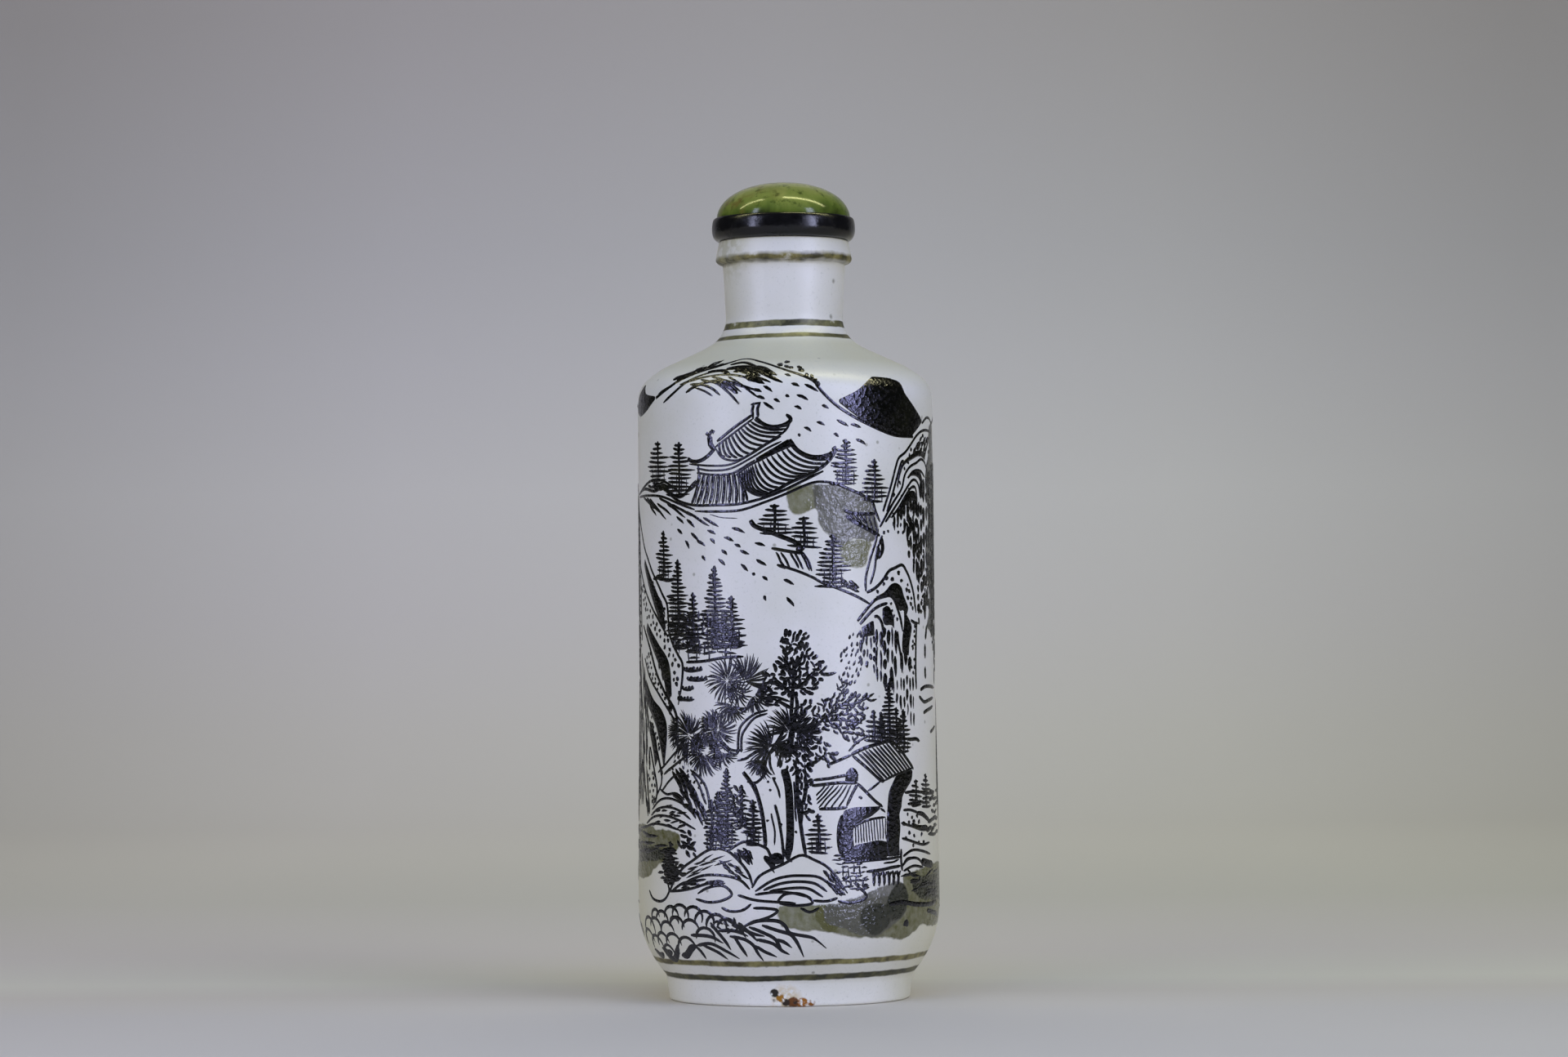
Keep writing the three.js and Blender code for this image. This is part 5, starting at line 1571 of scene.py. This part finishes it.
hatched(back, [(-33, 42.8), (-40, 41.4), (-42, 38), (-35, 36.4)], (1.9, 1.1), (0.6, 1.2), 25, 0.28)
hatched(back, [(-50, 40.4), (-58.6, 41.4), (-60, 38), (-53, 37.4)], (1.9, 1.1), (0.6, 1.2), -25, 0.28)
for rim in (
    [(-34, 34), (-41, 35), (-41, 31), (-35, 31)], [(-38, 27), (-54, 27), (-54, 21), (-39, 21)],
    [(-50, 35), (-57.6, 35.6), (-57.6, 30), (-53, 30)],
):
    hatched(back, rim, (3.4, 1.5), (1.4, 2.6), 0, 0.26, 0.1, 0.03)
burst(back, -41.6, 24.6, 2.2, 34)
burst(back, -44.2, 23, 1.9, 30)
burst(back, -39.8, 22.4, 1.7, 26)
for trunk in (
    [(-41.6, 24.4), (-41.2, 21.4), (-41.6, 18.4), (-42.2, 15.6)],
    [(-41.2, 24.2), (-40.6, 21.2), (-40.9, 18.2), (-41.2, 15.6)],
    [(-44, 22.8), (-43, 21), (-41.6, 19.6)],
    [(-40, 22.2), (-40.4, 20.6), (-40.8, 19.6)],
):
    line(back, trunk, 0.3, 0.05, 0.1)
for place in (
    (-26, 11.4, 3.4, 3.2, 4), (-32.4, 11, 3.8, 3.6, 4), (-40.6, 11.2, 4.4, 4.2, 5),
    (-48.6, 10.8, 3.6, 3, 4), (-56, 11.2, 4, 4.2, 4), (-63.4, 11.4, 3.4, 3.4, 4),
    (-44.8, 10.2, 1.6, 1.2, 2), (-29.6, 10.2, 1.4, 1.1, 2), (-52.6, 10, 1.6, 1.2, 2),
):
    mound(back, *place)
hatched(back, [(-22, 8.8), (-22, 10.2), (-69, 10.2), (-69, 8.8)],
        (3, 0.7), (1.4, 2.8), 0, 0.28, 0.1, 0.04)
for along, up in zip(np.arange(-21.5, -34, -1.25), 6.4 + 0.9 * np.sin(np.arange(10) * 1.9)):
    angle = np.radians(np.linspace(175, 0, 10))
    brush(back, np.stack([along + 1.15 * np.cos(angle), up + 1.1 * np.sin(angle)], -1), 0.3, 0.2, 0.3)
for along in np.arange(-66, -56, 1.3):
    line(back, [(along, 8), (along + 1, 7.6), (along + 1.9, 6.6), (along + 2.5, 5.2)], 0.3, 0.1, 0.4)
enamel_piece("landscape_back", back)


# --- Stopper collar --------------------------------------------------------------------------
# A turned disc with rounded sides that rests on the lip, with the plug that enters the mouth
# under it, finished in glossy black lacquer.
collar_low, collar_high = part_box("stopper_collar")
COLLAR_RADIUS = collar_high[0] / MM
COLLAR_TOP = collar_high[2] / MM
PLUG_END = collar_low[2] / MM
COLLAR_WAIST = (COLLAR_RADIUS, 75.6)  # its widest place, as radius and height
SEAT_HEIGHT = 76.1  # of the hollow that the dome is set in
STOPPER_SEGMENTS = 160

collar_profile = np.concatenate([
    [(0, PLUG_END), (2.3, PLUG_END), (2.6, PLUG_END + 0.3), (2.85, LIP_TOP), (6.3, LIP_TOP)],
    curve((6.3, LIP_TOP), [(6.8, LIP_TOP), (COLLAR_RADIUS, 74.9)], COLLAR_WAIST, 12),
    curve(COLLAR_WAIST, [(COLLAR_RADIUS, 76.15), (6.98, 76.6)], (6.8, COLLAR_TOP), 12),
    [(6.7, COLLAR_TOP - 0.05), (6.7, SEAT_HEIGHT), (0, SEAT_HEIGHT)],
])
collar_points, collar_faces = turned(collar_profile, STOPPER_SEGMENTS)


def lacquer_material():
    """Black lacquer: near black and glossy, its skin a little lumpy so that the shine on it
    breaks up, with a few pale scuffs and darker patches at random."""
    material, tree, output = blank_material("black_lacquer")
    place = node(tree, "TexCoord").outputs["Object"]
    waves = node(tree, "TexNoise", {"Vector": place, "Scale": 700.0, "Detail": 4.0})
    scuffs = node(tree, "TexNoise", {"Vector": place, "Scale": 1500.0, "Detail": 5.0, "Roughness": 0.7})
    shader = node(tree, "BsdfPrincipled", {
        "Base Color": node(tree, "ValToRGB", [scuffs], [
            (0.3, "#08080a"), (0.62, "#0f0f12"), (0.8, "#262628"),
        ]),
        "Roughness": node(tree, "MapRange", [waves, 0.35, 0.65, 0.12, 0.3]), "IOR": 1.45,
        "Normal": node(tree, "Bump", {"Height": waves, "Strength": 0.5, "Distance": 0.12 * MM}),
    })
    tree.links.new(shader.outputs["BSDF"], output.inputs["Surface"])
    return material


collar = mesh_object("lacquer_collar", collar_points, collar_faces, lacquer_material())
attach(collar, "root")
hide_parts("stopper_collar")


# --- Stopper dome ----------------------------------------------------------------------------
# A low cabochon of mottled green stone, polished, set in the collar's seat. It is a little
# fuller than an ellipse over a short upright side.
dome_low, dome_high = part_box("stopper_cabochon")
DOME_RADIUS = dome_high[0] / MM
DOME_TOP = dome_high[2] / MM
DOME_FOOT = dome_low[2] / MM
DOME_SIDE = 76.5  # the height where its upright side begins to close in
FULLNESS = 0.94  # the power its ellipse is raised to: one leaves it as it is, less fills it out

rise = np.linspace(0, math.pi / 2, 40)
dome_profile = np.concatenate([
    [(0, DOME_FOOT), (DOME_RADIUS - 0.1, DOME_FOOT)],
    np.stack([
        DOME_RADIUS * np.cos(rise) ** FULLNESS,
        DOME_SIDE + (DOME_TOP - DOME_SIDE) * np.sin(rise) ** FULLNESS,
    ], -1),
])
dome_points, dome_faces = turned(dome_profile, STOPPER_SEGMENTS)


def green_stone_material():
    """Polished stone: olive and yellow green in soft clouds and streaks, darker towards the collar
    and paler to its top as painted shade and painted light, with brown stains at one side and a
    small pit near the front painted dark as its shade."""
    material, tree, output = blank_material("polished_green_stone")
    place = node(tree, "TexCoord").outputs["Object"]
    parts = node(tree, "SeparateXYZ", [place]).outputs
    clouds = node(tree, "TexNoise", {"Vector": place, "Scale": 330.0, "Detail": 6.0, "Distortion": 0.8})
    # Painted shade and light: the colour darkens towards the collar and pales towards the top.
    level = node(tree, "MapRange", [parts["Z"], 76.3 * MM, 79.9 * MM])
    clouds_and_painted_shade = node(tree, "Math", [clouds, 1.2, level], operation="MULTIPLY_ADD")
    half = node(tree, "Math", [clouds_and_painted_shade, 0.5], operation="MULTIPLY")
    colour = node(tree, "ValToRGB", [half], [
        (0.14, "#1c210e"), (0.28, "#343f18"), (0.4, "#586828"), (0.56, "#7c873c"), (0.74, "#9a9d50"),
        (0.92, "#a8a75f"),
    ])
    flecks = node(tree, "TexNoise", {"Vector": place, "Scale": 1100.0, "Detail": 5.0, "Roughness": 0.7})
    colour = laid_over(tree, colour, "#2f3a14", node(tree, "MapRange", [flecks, 0.54, 0.68, 0.0, 0.8]))
    stains = node(tree, "TexNoise", {"Vector": place, "Scale": 600.0, "Detail": 4.0})
    stained = node(tree, "MapRange", [stains, 0.46, 0.62, 0.0, 0.8])
    to_the_left = node(tree, "MapRange", [parts["X"], 0.5 * MM, -4.5 * MM])
    colour = laid_over(tree, colour, "#74642f", stained, to_the_left)
    # Painted shade: a dark spot for the shade in a small pit.
    pit = spot(tree, place, [0.6 * MM, -4.7 * MM, 78.9 * MM], 0.1 * MM, 0.16 * MM)
    colour = laid_over(tree, colour, "#15180c", pit)
    shader = node(tree, "BsdfPrincipled", {"Base Color": colour, "Roughness": 0.14, "IOR": 1.34})
    tree.links.new(shader.outputs["BSDF"], output.inputs["Surface"])
    return material


dome = mesh_object("stone_dome", dome_points, dome_faces, green_stone_material())
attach(dome, "root")
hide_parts("stopper_cabochon")
